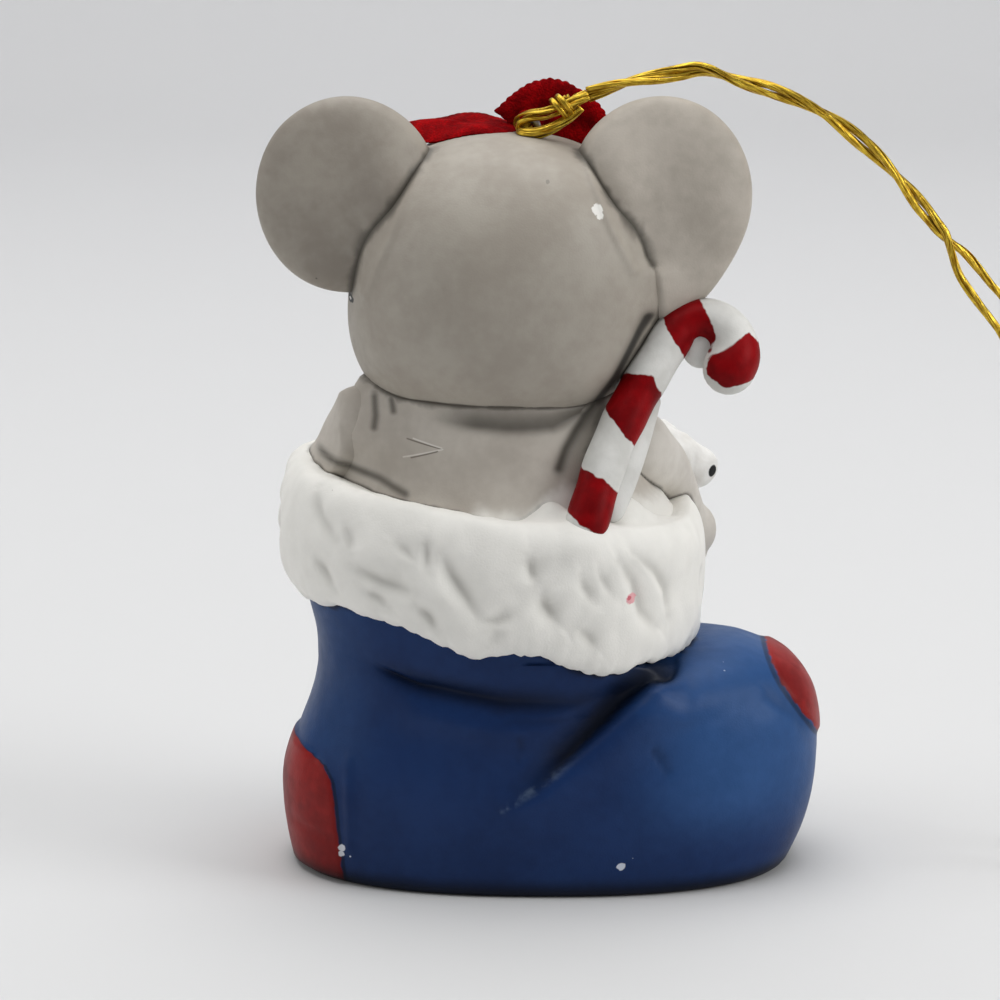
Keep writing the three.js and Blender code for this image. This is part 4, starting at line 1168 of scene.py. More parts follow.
# Partings of the fur on the back: lines in x and z, with their depth and width
PARTINGS = [
    ([(-23.2, 39.2), (-22.0, 36.8), (-20.4, 34.9)], 0.5, 0.5),
    ([(-18.8, 32.7), (-16.0, 31.4), (-12.9, 30.6)], 0.6, 0.55),
    ([(-13.0, 29.3), (-11.9, 28.3), (-11.2, 26.9)], 0.6, 0.5),
    ([(-10.6, 34.6), (-9.6, 32.3), (-8.4, 30.6), (-6.8, 28.1)], 0.85, 0.6),
    ([(-6.9, 28.0), (-5.4, 28.0), (-3.7, 28.9)], 0.5, 0.5),
    ([(-12.1, 35.9), (-11.9, 34.4), (-11.8, 32.8)], 0.5, 0.45),
    ([(-14.7, 35.2), (-13.8, 34.6), (-12.9, 33.7)], 0.4, 0.45),
    ([(-2.3, 34.2), (-2.1, 33.0), (-1.7, 31.7)], 0.6, 0.5),
    ([(-1.1, 30.6), (-0.7, 29.2), (0.3, 27.8)], 0.9, 0.65),
    ([(2.6, 32.1), (3.1, 30.9), (4.0, 29.6)], 0.5, 0.45),
    ([(4.3, 32.6), (4.9, 31.4), (5.7, 30.0)], 0.45, 0.45),
    ([(6.5, 33.2), (7.9, 31.0), (8.8, 28.0), (10.2, 26.2)], 0.7, 0.55),
    ([(8.0, 33.7), (10.2, 31.8), (11.5, 29.7), (11.6, 27.0)], 0.7, 0.6),
    ([(2.3, 27.0), (3.4, 26.2), (4.3, 25.0)], 0.5, 0.5),
    ([(-22.3, 32.7), (-21.6, 31.6), (-20.7, 30.0)], 0.55, 0.5),
    ([(-17.6, 30.3), (-16.6, 29.8), (-15.6, 29.0)], 0.45, 0.45),
    ([(-19.5, 36.5), (-19.0, 35.2), (-18.9, 34.0)], 0.35, 0.45),
    ([(-6.2, 25.6), (-5.2, 26.6), (-4.9, 27.4)], 0.3, 0.45),
]


def fur_partings(edge, arc, middle):
    """Lines along the cuff, with depth and width: as photographed behind, and drawn by lot in front."""
    around = len(edge)
    half = around // 2
    whole = arc[-1] + np.linalg.norm(edge[0, :2] - edge[-1, :2])
    lines = []
    for line, depth, width in PARTINGS:
        x, z = np.transpose(line)
        along = np.interp(x, edge[half:, 0], arc[half:])
        lines.append((np.column_stack([along, z]), depth, width))
    lots = np.random.default_rng(12)
    front = np.arange(2.0, arc[half] - 1.0, 2.1)
    heel_end = np.arange(arc[half], arc[half] + 4, 1.6)
    toe_end = np.arange(whole - 7, whole, 1.9)
    for start in np.concatenate([front, heel_end, toe_end]):
        here = int(np.searchsorted(arc, start % whole)) % around
        top = middle[here] + lots.uniform(-4.6, 4.4)
        long = lots.uniform(2.2, 4.6)
        lean = lots.uniform(-2.4, -0.8)
        line = [(start, top), (start + lean * 0.4, top - long * 0.5), (start + lean, top - long)]
        lines.append((np.array(line), lots.uniform(0.4, 0.8), lots.uniform(0.45, 0.6)))
    return lines


def pressed_fur(along, z, lines):
    """Depth of the partings, and the painted shade in them."""
    dip = np.zeros_like(z)
    crease = np.zeros_like(z)
    for line, depth, width in lines:
        away, share, hand = line_distance(along, z, line)
        fade = np.sin(np.clip(share, 0.06, 0.94) * math.pi) ** 0.6
        wide = 1.3 * np.where(hand > 0, width, width * 2.2)
        dip = np.maximum(dip, 1.25 * depth * fade * hump(away, wide, 1.3))
        crease = np.maximum(crease, 0.85 * fade * hump(away, width * 1.1) * min(1.0, depth / 0.7))
    return dip, crease


def cuff_inside(inner, out, top, hem):
    """Rows from the cuff's top in over the boot's mouth, down, and back behind the hem."""
    toe_heap = 3.6 * hump(inner[:, 0] - 8.4, 2.8)
    cane_heap = 2.0 * hump(inner[:, 0] - 0.4, 2.6)
    heap = ((toe_heap + cane_heap) * ease(-inner[:, 1] / 6))[:, None]
    rows = []
    for depth in (0.25, 0.5, 0.8, 1.1, 1.5, 1.9, 2.4, 3.0, 3.8):
        row = inner[:, None] - out[:, None] * depth
        row[..., 2] = top + heap * ease((depth + 0.4) / 3.0) - 0.36 * depth
        row[..., 2] += 0.16 * ripple(row, 1.6, 6.0)
        rows.append(row)
    for depth, level in ((3.8, top - 3.2), (1.4, top - 3.2), (1.4, hem + 0.6)):
        row = inner[:, None] - out[:, None] * depth
        row[..., 2] = level
        rows.append(row)
    return rows


def cuff_piece():
    around, steps = 460, 76
    angle = round_steps(around)
    inner = boot_ring(angle, SHAFT_TOP, 0.0)
    out = unit(np.stack([inner[:, 0] - SHAFT_X, inner[:, 1], np.zeros(around)], axis=-1))
    edge = inner + out * (CUFF_THICKNESS + SEAM)
    arc = np.concatenate([[0], np.cumsum(np.linalg.norm(np.diff(edge[:, :2], axis=0), axis=1))])
    middle = CUFF_LEVEL - CUFF_SLOPE * (inner[:, 0] - SHAFT_X)
    back = np.interp(edge[:, 0], *zip(*HEM_BACK))
    front = np.interp(edge[:, 0], *zip(*HEM_FRONT))
    hem = np.where(edge[:, 1] < 0, back, front)
    hem = hem + 0.36 * ripple(edge, 1.3, 2.0) + 0.14 * ripple(edge, 0.6, 7.0)
    bend = np.linspace(-math.pi / 2, math.pi / 2, steps)
    height = spread(np.sin(bend), 0.85)
    bulge = np.cos(bend) ** 0.82
    reach = CUFF_THICKNESS * bulge[None] * (1 - 0.24 * np.cos(angle))[:, None] + SEAM
    drop = (0.35 + 0.25 * hump(edge[:, 0] + 5, 5)) * ease(-edge[:, 1] / 5)
    rise = height[None] * (CUFF_HEIGHT / 2 - drop)[:, None]
    lift = np.where(height[None] < 0, -height[None] * (hem - middle)[:, None], rise)
    rings = inner[:, None] + out[:, None] * reach[..., None]
    rings[..., 2] = middle[:, None] + lift
    across = np.roll(rings, -1, 0) - np.roll(rings, 1, 0)
    normals = unit(np.cross(across, np.gradient(rings, axis=1)))
    if (normals * out[:, None]).sum() < 0:
        normals = -normals
    x, y, z = np.moveaxis(rings, -1, 0)
    along = np.broadcast_to(arc[:, None], z.shape)
    dip, crease = pressed_fur(along, z, fur_partings(edge, arc, middle))
    lumps = 0.3 * ripple(rings, 4.2, 1.0) + 0.12 * ripple(rings * np.array([1, 1, 0.5]), 1.7, 4.0)
    body = ease(np.sin(np.linspace(0, 1, steps) * math.pi) * 2.2)[None]
    cane_seat = 1.1 * np.exp(-(((x - 2.8) / 2.6) ** 2) - ((z - 35.0) / 2.4) ** 2) * (y < 0)
    rings = rings + normals * (cane_seat + (lumps - dip) * body)[..., None]
    inside = cuff_inside(inner, out, rings[:, -1:, 2], rings[:, :1, 2])
    crease = np.concatenate([crease, np.zeros((around, len(inside)))], axis=1)
    points, faces = skin(np.concatenate([rings] + inside, axis=1), joined=True)
    paint = make_cuff_paint()
    marks = {"crease": crease}
    return piece("fur_cuff_cast", points, faces, paint, "ornament", ["fur_cuff"], marks)


# Mouse

def torso_ring(share, inset, angle):
    z = SHAFT_TOP + SEAM + share * TORSO_HEIGHT
    chest = CHEST_LEVEL / TORSO_HEIGHT
    back = -TORSO_BACK * ease(share / chest)
    if share < chest:
        draw = ease(share / chest) ** 0.7
        length = SHAFT_LENGTH + (CHEST[0] - SHAFT_LENGTH) * draw
        width = SHAFT_WIDTH + (CHEST[1] - SHAFT_WIDTH) * draw
    else:
        draw = ((share - chest) / (1 - chest)) ** 2
        length = CHEST[0] + (NECK[0] - CHEST[0]) * draw
        width = CHEST[1] + (NECK[1] - CHEST[1]) * draw
    x = SHAFT_X + (length / 2 - inset) * np.cos(angle)
    y = back + (width / 2 - inset) * np.sin(angle)
    return np.stack([x, y, np.full_like(x, z)], axis=-1)


# Creases darkened with painted shade, as seen from behind: lines in x and z, with their width
TORSO_CREASES = [
    ([(-16.93, 47.4), (-16.8, 45.6), (-16.95, 44.5)], 0.38),
    ([(-15.29, 47.3), (-15.1, 46.2)], 0.36),
    ([(-23.2, 41.77), (-21.19, 40.93), (-19.09, 40.24), (-16.39, 39.63), (-14.0, 38.69)], 0.45),
]
TORSO_FOLD = [(-12.06, 46.3), (-7.84, 45.6), (-4.0, 45.3), (-0.06, 45.3), (2.48, 46.3)]
CANE_CREASE = [(8.49, 55.23), (5.7, 49.79), (3.71, 46.69), (2.26, 44.8), (1.26, 43.06), (0.61, 41.29)]
# Two scratches that meet in a point, each light with a dark edge: start, end and colour
TORSO_SCRATCHES = [
    ((-13.78, -10.4, 43.8), (-10.38, -11.4, 43.15), srgb(96, 88, 76)),
    ((-13.2, -10.4, 43.9), (-10.5, -11.4, 43.25), srgb(222, 218, 210)),
    ((-10.38, -11.4, 43.15), (-14.16, -10.4, 42.01), srgb(222, 218, 210)),
    ((-10.9, -11.4, 42.9), (-13.4, -10.4, 42.05), srgb(110, 102, 90)),
]


def clear_hollow(obj):
    """Presses what is sunk through the torso's wall back into the wall, so that the hollow stays clear."""
    points = places_of(obj)
    shares = np.linspace(0, 1, 60)
    quarters = np.array([0.0, TURN / 4, -TURN / 4])
    rings = np.stack([torso_ring(share, WALL / 2, quarters) for share in shares])
    at = np.clip((points[:, 2] - SHAFT_TOP - SEAM) / TORSO_HEIGHT, 0, 1)
    middle_y = np.interp(at, shares, rings[:, 1:, 1].mean(1))
    half_x = np.interp(at, shares, rings[:, 0, 0] - SHAFT_X)
    half_y = np.interp(at, shares, (rings[:, 1, 1] - rings[:, 2, 1]) / 2)
    middle = np.column_stack([np.full(len(points), SHAFT_X), middle_y])
    away = points[:, :2] - middle
    share_out = np.hypot(away[:, 0] / half_x, away[:, 1] / half_y)
    out = away / np.maximum(share_out, 0.05)[:, None]
    sunk = np.linalg.norm(out, axis=1) > np.linalg.norm(away, axis=1)
    points[sunk, :2] = (middle + out)[sunk]
    obj.data.vertices.foreach_set("co", ((points + SHIFT) * MM).ravel())
    obj.data.update()


def left_painted_shade(points):
    """Faint painted shade over the left of the back."""
    return 0.1 * ease(-points[..., 1] / 6) * ease((-points[..., 0] - 10) / 4)


def cuff_level(x):
    return CUFF_LEVEL - CUFF_SLOPE * (x - SHAFT_X) + CUFF_HEIGHT / 2


def torso_piece():
    around = 420
    angle = round_steps(around)
    outer = np.stack([torso_ring(share, 0.0, angle) for share in np.linspace(0, 1, 120)])
    normals = ring_normals(outer)
    x, y, z = np.moveaxis(outer, -1, 0)
    back = ease(-y / 6)
    away, share, hand = line_distance(x, z, TORSO_FOLD)
    fold = back * hump(away, np.where(hand > 0, 0.62, 1.9)) * ease(share * 3 + 0.1)
    # Painted shade along the cane's left edge, where a drip of wash also runs.
    cane_shade_and_drip = back * hump(line_distance(x, z, CANE_CREASE)[0], 0.55)
    frost = cuff_level(x) - 0.5 + 3.0 * hump(x - 1.2, 2.6)
    frost = frost + 1.7 * ease((x - 4) / 3) - 8 * ease((-x - 7) / 5) - z
    uneven = 0.12 * ripple(outer, 5.0, 8.0)
    outer = outer + normals * (uneven - 0.5 * fold - 0.25 * cane_shade_and_drip)[..., None]
    inner = np.stack([torso_ring(share, WALL, angle) for share in np.linspace(1, 0, 16)])
    points, faces = skin(np.concatenate([outer, inner]), joined=True)
    within = np.zeros((len(inner), around))
    # Wash and painted shade in the fold, beside the cane and over the left of the back.
    wash = np.maximum(left_painted_shade(outer), np.maximum(0.95 * fold, cane_shade_and_drip))
    marks = {
        "crease": np.concatenate([wash, within]),
        "frost": np.concatenate([frost, within + NOWHERE]),
    }
    paint = make_grey_bisque("torso_paint", BODY_GREYS, TORSO_SCRATCHES)
    return piece("mouse_torso_cast", points, faces, paint, "ornament", ["mouse_torso"], marks)


def ear_centre(side):
    away = np.array([math.cos(EAR_LIFT), math.sin(EAR_LIFT)])
    halves = (HEAD_HALF, EAR_HALF)
    far = sum(1 / math.hypot(away[0] / half[0], away[1] / half[2]) for half in halves) - EAR_SINK
    return HEAD + np.array([side * far * away[0], -EAR_BACK, far * away[1]])


# Mould lines that run down the head beside the ears, as seen from behind
EAR_RIDGES = [
    [(-11.21, 71.85), (-14.9, 64.09), (-17.67, 57.41)],
    [(2.71, 70.36), (5.26, 64.42), (7.53, 59.87)],
]
# The cheeks' places beside and before the head's middle: the left one is fuller to the side
CHEEKS = ((-6.2, 0.5), (6.9, 5.5))
CHEEK_LEVEL = -4.9


def head_field(points):
    p = points - HEAD
    half = HEAD_HALF + np.array([0, 0, 0.4]) * (p[..., 2:] > 0)
    field = ((np.abs(p / half) ** HEAD_FULLNESS).sum(-1) ** (1 / HEAD_FULLNESS) - 1) * HEAD_HALF[1]
    for aside, forward in CHEEKS:
        field = melt(field, egg_field(p, np.array([aside, forward, CHEEK_LEVEL]), CHEEK_HALF), 2.5)
    field = melt(field, egg_field(p, MUZZLE, MUZZLE_HALF), 2.4)
    field = melt(field, egg_field(p, NOSE, NOSE_HALF), 0.5)
    for line in EAR_RIDGES:
        away = line_distance(points[..., 0], points[..., 2], line)[0]
        field = field - 0.24 * hump(away, 0.38) * ease(-p[..., 1] / 3)
    return field


def face_marks(points):
    """Stored distances of the painted face, which is laid out in degrees of yaw and pitch."""
    p = points - HEAD
    far = np.linalg.norm(p, axis=1)
    yaw = np.degrees(np.arctan2(p[:, 0], p[:, 1]))
    pitch = np.degrees(np.arcsin(np.clip(p[:, 2] / far, -1, 1)))
    front = (p[:, 1] > 4) & (far > 12.5)

    def on_front(distance):
        return np.where(front, distance, NOWHERE)

    def ovals(yaws, at_pitch, wide, high):
        share = np.min([np.hypot((yaw - at) / wide, (pitch - at_pitch) / high) for at in yaws], axis=0)
        return on_front((1 - share) * min(wide, high) * 0.24)

    smile = line_distance(np.abs(yaw), pitch, [(0, -9), (4, -16), (10, -19), (16, -17)])[0]
    # Distance to the line of painted shade beside the cane.
    beside_cane = line_distance(points[:, 0] - 0.2, points[:, 2], CANE_CREASE)[0]
    return {
        "eye": ovals((-21, 21), 13, 5.2, 8.0),
        "glint": ovals((-22.5, 19.5), 16.5, 1.7, 2.2),
        "cheek": ovals((-36, 36), -12, 13, 11),
        "mouth": on_front(0.16 - smile * 0.25),
        "nose": on_front(-egg_field(p, NOSE, NOSE_HALF * 1.12)),
        "muzzle": on_front(-egg_field(p, MUZZLE, MUZZLE_HALF * np.array([1.12, 1.5, 1.15]))),
        "crease": hump(beside_cane, 0.6) * ease(-p[:, 1] / 4),
    }


def head_piece():
    rows, around = 190, 320
    axis = unit(np.array([HANG_ASIDE, 0.0, CROWN_TOP - HEAD[2]]))
    first = np.array([0.0, -1.0, 0.0])
    second = np.cross(axis, first)
    turn = round_steps(around)
    ring = np.cos(turn)[:, None] * first + np.sin(turn)[:, None] * second

    def rays(start, end, count):
        tilt = np.linspace(start, end, count)[:, None, None]
        return np.cos(tilt) * axis + np.sin(tilt) * ring[None]

    wide, room = HEAD_HALF[1], HEAD_HALF[1] - WALL
    directions = rays(math.asin(CROWN_HOLE / wide), math.pi - math.asin(NECK_HOLE / wide), rows)
    outer = cast(HEAD, directions, head_field, 24.0)
    outer = outer + unit(outer - HEAD) * (0.07 * ripple(outer, 7.0, 11.0))[..., None]
    crown = CROWN_TOP - HEAD[2] + 0.16
    lip = np.stack([HEAD + axis * (crown - drop) + ring * out for drop, out in ((1.4, 1.1), (0.35, 1.12))])
    inside = rays(math.pi - math.asin(INNER_NECK / room), math.asin(INNER_CROWN / room), 24)
    inner = HEAD + inside / np.linalg.norm(inside / (HEAD_HALF - WALL), axis=-1, keepdims=True)
    points, faces = skin(np.concatenate([lip, outer, inner]), joined=True)
    paint = make_face_paint()
    marks = face_marks(points)
    return piece("mouse_head_cast", points, faces, paint, "ornament", ["mouse_head"], marks)


def ear_piece(side, name, node, paint):
    tilt = np.linspace(0.02, math.pi - 0.02, 120)[:, None]
    turn = round_steps(180)[None]
    x = np.sin(tilt) * np.cos(turn)
    z = np.sin(tilt) * np.sin(turn)
    y = np.cos(tilt) * np.ones_like(turn)
    root = hump(np.arctan2(z, x) + 1.5, 0.55) * (side > 0)
    swell = 1 + 0.27 * root * np.sin(tilt)
    rings = ear_centre(side) + np.stack([x, y, z], axis=-1) * EAR_HALF * swell[..., None]
    inwards = -side * x
    rings[..., 1] -= 2.0 * np.exp(-(((inwards - 0.52) / 0.36) ** 2) - (z / 0.62) ** 2) * ease(-y * 2.5)
    share = np.hypot(x, z)
    rings[..., 1] -= EAR_DISH * np.where(y > 0, ease((0.84 - share) / 0.34), 0.0)
    relief = 0.1 * hump(y - 0.1, 0.09) + 0.08 * ripple(rings, 6.0, 14.0 + side)
    rings = rings + unit(np.stack([x, y * 0.3, z], axis=-1)) * relief[..., None]
    points, faces = skin(rings)
    inner = np.where(y > 0, (0.78 - share) * EAR_HALF[0], NOWHERE)
    marks = {"dish": np.append(inner.ravel(), [-NOWHERE, NOWHERE]), "crease": np.zeros(len(points))}
    return piece(name, points, faces, paint, "ornament", [node], marks)


def cuff_top(turn):
    angle = math.radians(turn)
    edge = boot_ring(np.array([angle]), SHAFT_TOP, -CUFF_THICKNESS / 2)[0]
    edge[2] = cuff_level(edge[0])
    return edge


def arm_path(side):
    shoulder, elbow = (
        np.array([SHAFT_X + side * aside, forward, SHAFT_TOP + above])
        for aside, forward, above in (SHOULDER, ELBOW)
    )
    upper = shoulder + (elbow - shoulder) * 0.55
    upper[1] -= 1.4
    paw = cuff_top(112 if side < 0 else 27)
    paw += np.array([0.0, 0.0, 1.6] if side < 0 else [0.8, 0.0, -4.8])
    return curve_through([shoulder, upper, elbow, elbow + (paw - elbow) * 0.6, paw], 60), paw


def arm_piece(side, name, node, paint):
    path, paw = arm_path(side)
    share = np.linspace(0, 1, len(path))
    radius = ARM_RADIUS * (1 - 0.22 * share) * (0.72 + 0.28 * ease(share / 0.22))
    shells = [domed(path, radius, 36), egg(paw, PAW_HALF)]
    toward = unit(path[-1] - path[-8])
    across = np.cross(toward, [0, 0, 1])
    for finger in (-1, 0, 1):
        place = paw + toward * 2.0 + across * finger * 1.7 - np.array([0, 0, 0.7])
        shells.append(egg(place, FINGER_HALF, 18))
    points, faces = fused(shells, 0.3)
    marks = {"crease": left_painted_shade(points), "frost": np.full(len(points), NOWHERE)}
    return piece(name, points, faces, paint, "ornament", [node], marks)


# Candy cane and toy

def cane_path():
    """The stick from its foot on the cuff to the end of its hook, and the hook's middle."""
    foot = cuff_top(CANE_TURN)
    foot[2] -= CANE_SUNK
    foot[1] += CUFF_THICKNESS / 2 + CANE_RADIUS - CANE_OUT
    rise = math.cos(CANE_LEAN) * math.cos(CANE_FORWARD)
    axis = unit(np.array([math.sin(CANE_LEAN), math.sin(CANE_FORWARD), rise]))
    aside = unit(np.array([1.0, 0, 0]) - axis * axis[0])
    points = []
    for i in range(6):
        bow = CANE_BOW * math.sin(math.pi * i / 6)
        points.append(foot + axis * CANE_LENGTH * i / 6 - aside * bow)
    centre = foot + axis * CANE_LENGTH + aside * HOOK_RADIUS
    for i in range(9):
        bend = math.radians(HOOK_TURN * i / 8)
        points.append(centre - aside * HOOK_RADIUS * math.cos(bend) + axis * HOOK_RADIUS * math.sin(bend))
    return curve_through(points, 170), centre


# Painted stripes as seen from behind: the corners of each in x and z
CANE_STRIPES = [
    [(1.3, 42.3), (4.49, 41.05), (6.6, 39.0), (5.3, 35.3), (0.6, 38.3)],
    [(5.2, 49.2), (6.89, 50.1), (9.4, 50.0), (10.2, 47.3), (7.9, 43.0), (4.6, 47.2)],
    [(9.9, 55.4), (11.8, 57.6), (13.7, 56.8), (14.6, 55.3), (15.36, 53.05), (14.6, 51.7), (12.58, 50.5),
     (11.9, 52.2)],
    [(14.5, 51.36), (18.5, 53.7), (20.2, 51.5), (19.6, 49.4), (16.1, 48.6), (14.3, 50.0)],
]


def cane_piece():
    path, crook = cane_path()
    share = np.linspace(0, 1, len(path))
    radius = CANE_RADIUS * (0.89 + 0.02 * np.sin(share * 40) + 0.18 * ease((share - 0.8) / 0.17))
    stick = domed(path, radius, 60)
    out = unit(stick - stick.mean(axis=1)[:, None])
    stick = stick + out * (0.07 * ripple(stick, 3.0, 21.0))[..., None]
    web = egg(crook + np.array([0, 0.5, 0]), (1.8, 0.8, 1.8), 24)
    fin = path[8:70] + np.array([1.9, 1.4, 0.0])
    fin = domed(fin, 1.75 * np.sin(np.linspace(0.9, 2.7, len(fin))) ** 0.7, 30)
    points, faces = joined_skins([stick, web, fin])
    own = len(skin(stick)[0])
    patches = [patch_distance(points[:, 0], points[:, 2], corners) for corners in CANE_STRIPES]
    stripe = np.where(np.arange(len(points)) < own, np.max(patches, axis=0), NOWHERE)
    marks = {"stripe": stripe, "crease": np.zeros(len(points))}
    paint = make_cane_paint()
    return piece("candy_cane_cast", points, faces, paint, "ornament", ["candy_cane"], marks)


def toy_piece():
    turn = math.radians(TOY_TURN * 0.35)
    ahead = np.array([math.cos(turn), math.sin(turn), 0.0])
    across = np.array([-ahead[1], ahead[0], 0.0])
    nose = cuff_top(TOY_TURN) + ahead * 3.6 + np.array([0, 0, 0.6])
    head = nose - ahead * 4.3 + np.array([0, 0, 1.8])
    body = head - ahead * TOY_LENGTH * 0.62 - np.array([0, 0, 1.8])
    shells = [egg(head, (3.8, 4.0, 3.3)), egg(nose, (2.76, 2.3, 2.3), 30), egg(body, (6.6, 4.6, 5.5))]
    shells.append(egg((head + nose) / 2, (3.3, 3.0, 2.9), 30))
    for side in (-1, 1):
        ear = head - ahead * 1.2 + across * side * 2.8 + np.array([0, 0, 3.1])
        shells.append(egg(ear, (1.7, 1.7, 1.7), 20))
    points, faces = fused(shells, 0.28)
    fur = 0.16 * ripple(points * np.array([1, 1, 0.45]), 0.8, 31.0) + 0.1 * ripple(points, 1.6, 33.0)
    centre = np.where(points[:, :1] > head[0] - 3.5, head, body)
    points = points + unit(points - centre) * fur[:, None]
    tip = nose + np.array([2.2, -1.3, -0.2])
    dark = 0.62 - np.linalg.norm(points - tip, axis=1)
    for forward, aside in ((2.4, 2.5), (3.2, 1.0)):
        eye = head + ahead * forward + across * aside + np.array([0, 0, 1.5])
        inside = 0.6 - np.linalg.norm(points - eye, axis=1)
        dark = np.maximum(dark, np.where(points[:, 1] > head[1] + 0.4, inside, NOWHERE))
    # Painted shade in the hollows of the fur.
    marks = {"dark": dark, "crease": np.clip(-fur * 2.5, 0, 1)}
    paint = make_toy_paint()
    return piece("toy_bear_cast", points, faces, paint, "ornament", ["toy_bear"], marks)


# Ribbon bow, its two loops as outlines
STANDING_LOOP = [
    (-5.5, 1.2, 73.4), (-3.6, 1.3, 75.1), (-1.4, 1.4, 76.3), (0.6, 1.4, 76.3), (2.4, 1.4, 75.5),
    (3.8, 1.3, 74.6), (5.2, 1.2, 72.4), (4.6, 1.2, 71.0), (3.2, 1.1, 70.3), (0.2, 1.0, 70.7),
    (-3.0, 1.0, 71.5),
]
LYING_LOOP = [
    (-2.6, 0.4, 71.7), (-4.6, -1.2, 71.7), (-8.0, -1.9, 71.6), (-11.4, -1.6, 70.9), (-14.0, -0.4, 70.9),
    (-14.3, 2.2, 71.9), (-11.6, 4.0, 72.1), (-7.6, 4.4, 72.7), (-4.4, 3.0, 72.2),
]


def ribbon_loop(outline, facing, puff, seed):
    """A loop of ribbon seen as its outline: two soft layers that meet at the edge, which is nubby."""
    edge = curve_through(outline + outline[:1], 240)[:-1]
    middle = edge.mean(0)
    step = np.linalg.norm(np.roll(edge, -1, 0) - edge, axis=1)
    nub = 0.13 * np.abs(np.sin(np.cumsum(step) * math.pi / 0.75))
    edge = edge + unit(edge - middle) * (nub + 0.1 * ripple(edge, 0.7, seed))[:, None]
    reach = np.sin(np.linspace(0.03, math.pi / 2, 26))
    share = np.concatenate([reach, reach[::-1]])
    side = np.concatenate([np.ones(26), -np.ones(26)])
    rings = middle + (edge - middle)[None] * share[:, None, None]
    lift = side * (puff * (1 - share**2.2) + 0.22 * (1 - share**12))
    folds = 0.22 * ripple(rings, 2.4, seed + 3.0) + 0.08 * ripple(rings, 0.9, seed + 5.0)
    return rings + np.asarray(facing) * (lift[:, None] + folds * (1 - share[:, None] ** 3))[..., None]


def bow_piece():
    pinch = np.array([HANG[0], HANG[1] + WIRE + SEAM + 1.1, CROWN_TOP + 1.1])
    knot = egg(pinch + np.array([0.1, 0.5, 0.1]), (1.5, 1.5, 1.3), 24)
    crumple = 0.2 * ripple(knot * np.array([1.0, 1.0, 0.3]), 0.7, 51.0)
    knot = knot + unit(knot - knot.mean((0, 1))) * crumple[..., None]
    standing = ribbon_loop(STANDING_LOOP, (0.08, -0.97, 0.22), 0.5, 41.0)
    lying = ribbon_loop(LYING_LOOP, (0.0, 0.1, 0.99), 0.45, 47.0)
    points, faces = joined_skins([standing, lying, knot])
    return piece("ribbon_bow_cloth", points, faces, make_velvet(), "ornament", ["ribbon_bow"])


# Gold cord

TWISTED = [
    (3.2, -2.6, 75.5), (6.2, -2.4, 76.4), (8.8, -2.2, 77), (11.5, -2, 77.4), (13.9, -2, 77.8),
    (16.9, -2, 76.9), (19.6, -2, 76.1), (22, -2, 75.3), (24.4, -2, 74.2), (26.6, -2, 72.9),
    (29.7, -2, 70.4), (32.1, -2, 68.1), (33.4, -2, 66.6), (35, -2, 64.6), (37.1, -2, 62.1),
]
FAR_LEG = [
    (39, -1.6, 60.3), (41.2, -1.2, 57.9), (43.2, -1, 55.6), (46, -0.6, 51), (48, -0.4, 43.5), (48.8, 0, 32.5),
    (49.2, 0.4, 20.5), (50.2, 0.6, 9.5), (52.2, 0.4, 2.9), (55, -1.4, 0.9),
]
NEAR_LEG = [
    (38.4, -2.6, 58.8), (40.4, -3, 55.8), (43.2, -3.2, 51.7), (45, -3.6, 46), (46, -4.2, 36.5),
    (46.4, -5, 24.5), (47.4, -5.8, 11.5), (49.6, -6.2, 3.5), (53, -5.6, 0.9),
]
CORD_LAY = 0.4
CORD_TWIST = 19.0
# The hitch: the cord's ends drawn away through the wire eye, back again, and a wrap round both
HITCH_AWAY = [
    (3.2, -2.6, 75.5), (2.2, -2.8, 75.1), (0.9, -2.9, 74.4), (-0.9, -2.7, 73.7), (-2.2, -2.2, 73.4),
    (-3.2, -1.7, 72.9), (-3.2, -1.0, 72.2), (-2.3, -0.7, 72.3),
]
HITCH_BACK = [
    (-2.3, -0.7, 72.5), (-2.9, -1.4, 71.9), (-2.9, -2.4, 71.8), (-1.8, -3.0, 71.9), (-0.2, -3.2, 72.4),
    (1.2, -3.1, 73.2), (2.0, -2.9, 73.9), (2.5, -2.8, 74.4),
]
WRAP_START = np.array([0.3, -2.9, 74.0])
WRAP_END = np.array([1.5, -2.8, 74.8])
WRAP_TURNS = 2.1


def twisted_leg(side):
    steps = 31
    line = curve_through(TWISTED, steps)
    along = unit(np.gradient(line, axis=0))
    level = unit(np.array([0.0, 1.0, 0.0]) - along * along[:, 1:2])
    upwards = np.cross(along, level)
    angle = (np.linspace(0, 1, steps) - 1) * path_length(line) * TURN / CORD_TWIST - math.pi / 4
    return line + side * CORD_LAY * (level * np.cos(angle)[:, None] + upwards * np.sin(angle)[:, None])


def drift(places, seed):
    return np.array([noise.noise(Vector((place, seed, 0.0))) for place in places])


def foil_strands(path, strands, spread_out, seed=0.0, spacing=0.3, wide=0.25, thick=0.13):
    """Flat foil strands that wander along a path: rings of each strand, and the place along it."""
    length = path_length(path)
    count = max(16, int(length / spacing))
    path = even_steps(path, count)
    _, first, second = carried_frames(path)
    along = np.linspace(0, length, count)
    turn = round_steps(10)

    def outwards(angle):
        return np.cos(angle)[:, None] * first + np.sin(angle)[:, None] * second

    made = []
    for k in range(strands):
        angle = TURN * k / strands + along * TURN / 26 + 1.2 * drift(along / 9, k * 3.1 + seed)
        away = spread_out * (1 + 0.5 * drift(along / 7, k * 5.3 + seed + 2.0))
        line = path + away[:, None] * outwards(angle)
        face = angle + 1.4 * drift(along / 5, k * 7.7 + seed + 4.0) + math.pi / 2
        across = wide * np.cos(turn)[None, :, None] * outwards(face)[:, None]
        through = thick * np.sin(turn)[None, :, None] * outwards(face + math.pi / 2)[:, None]
        made.append((line[:, None] + (across + through), along + 17.0 * (k + seed)))
    return made


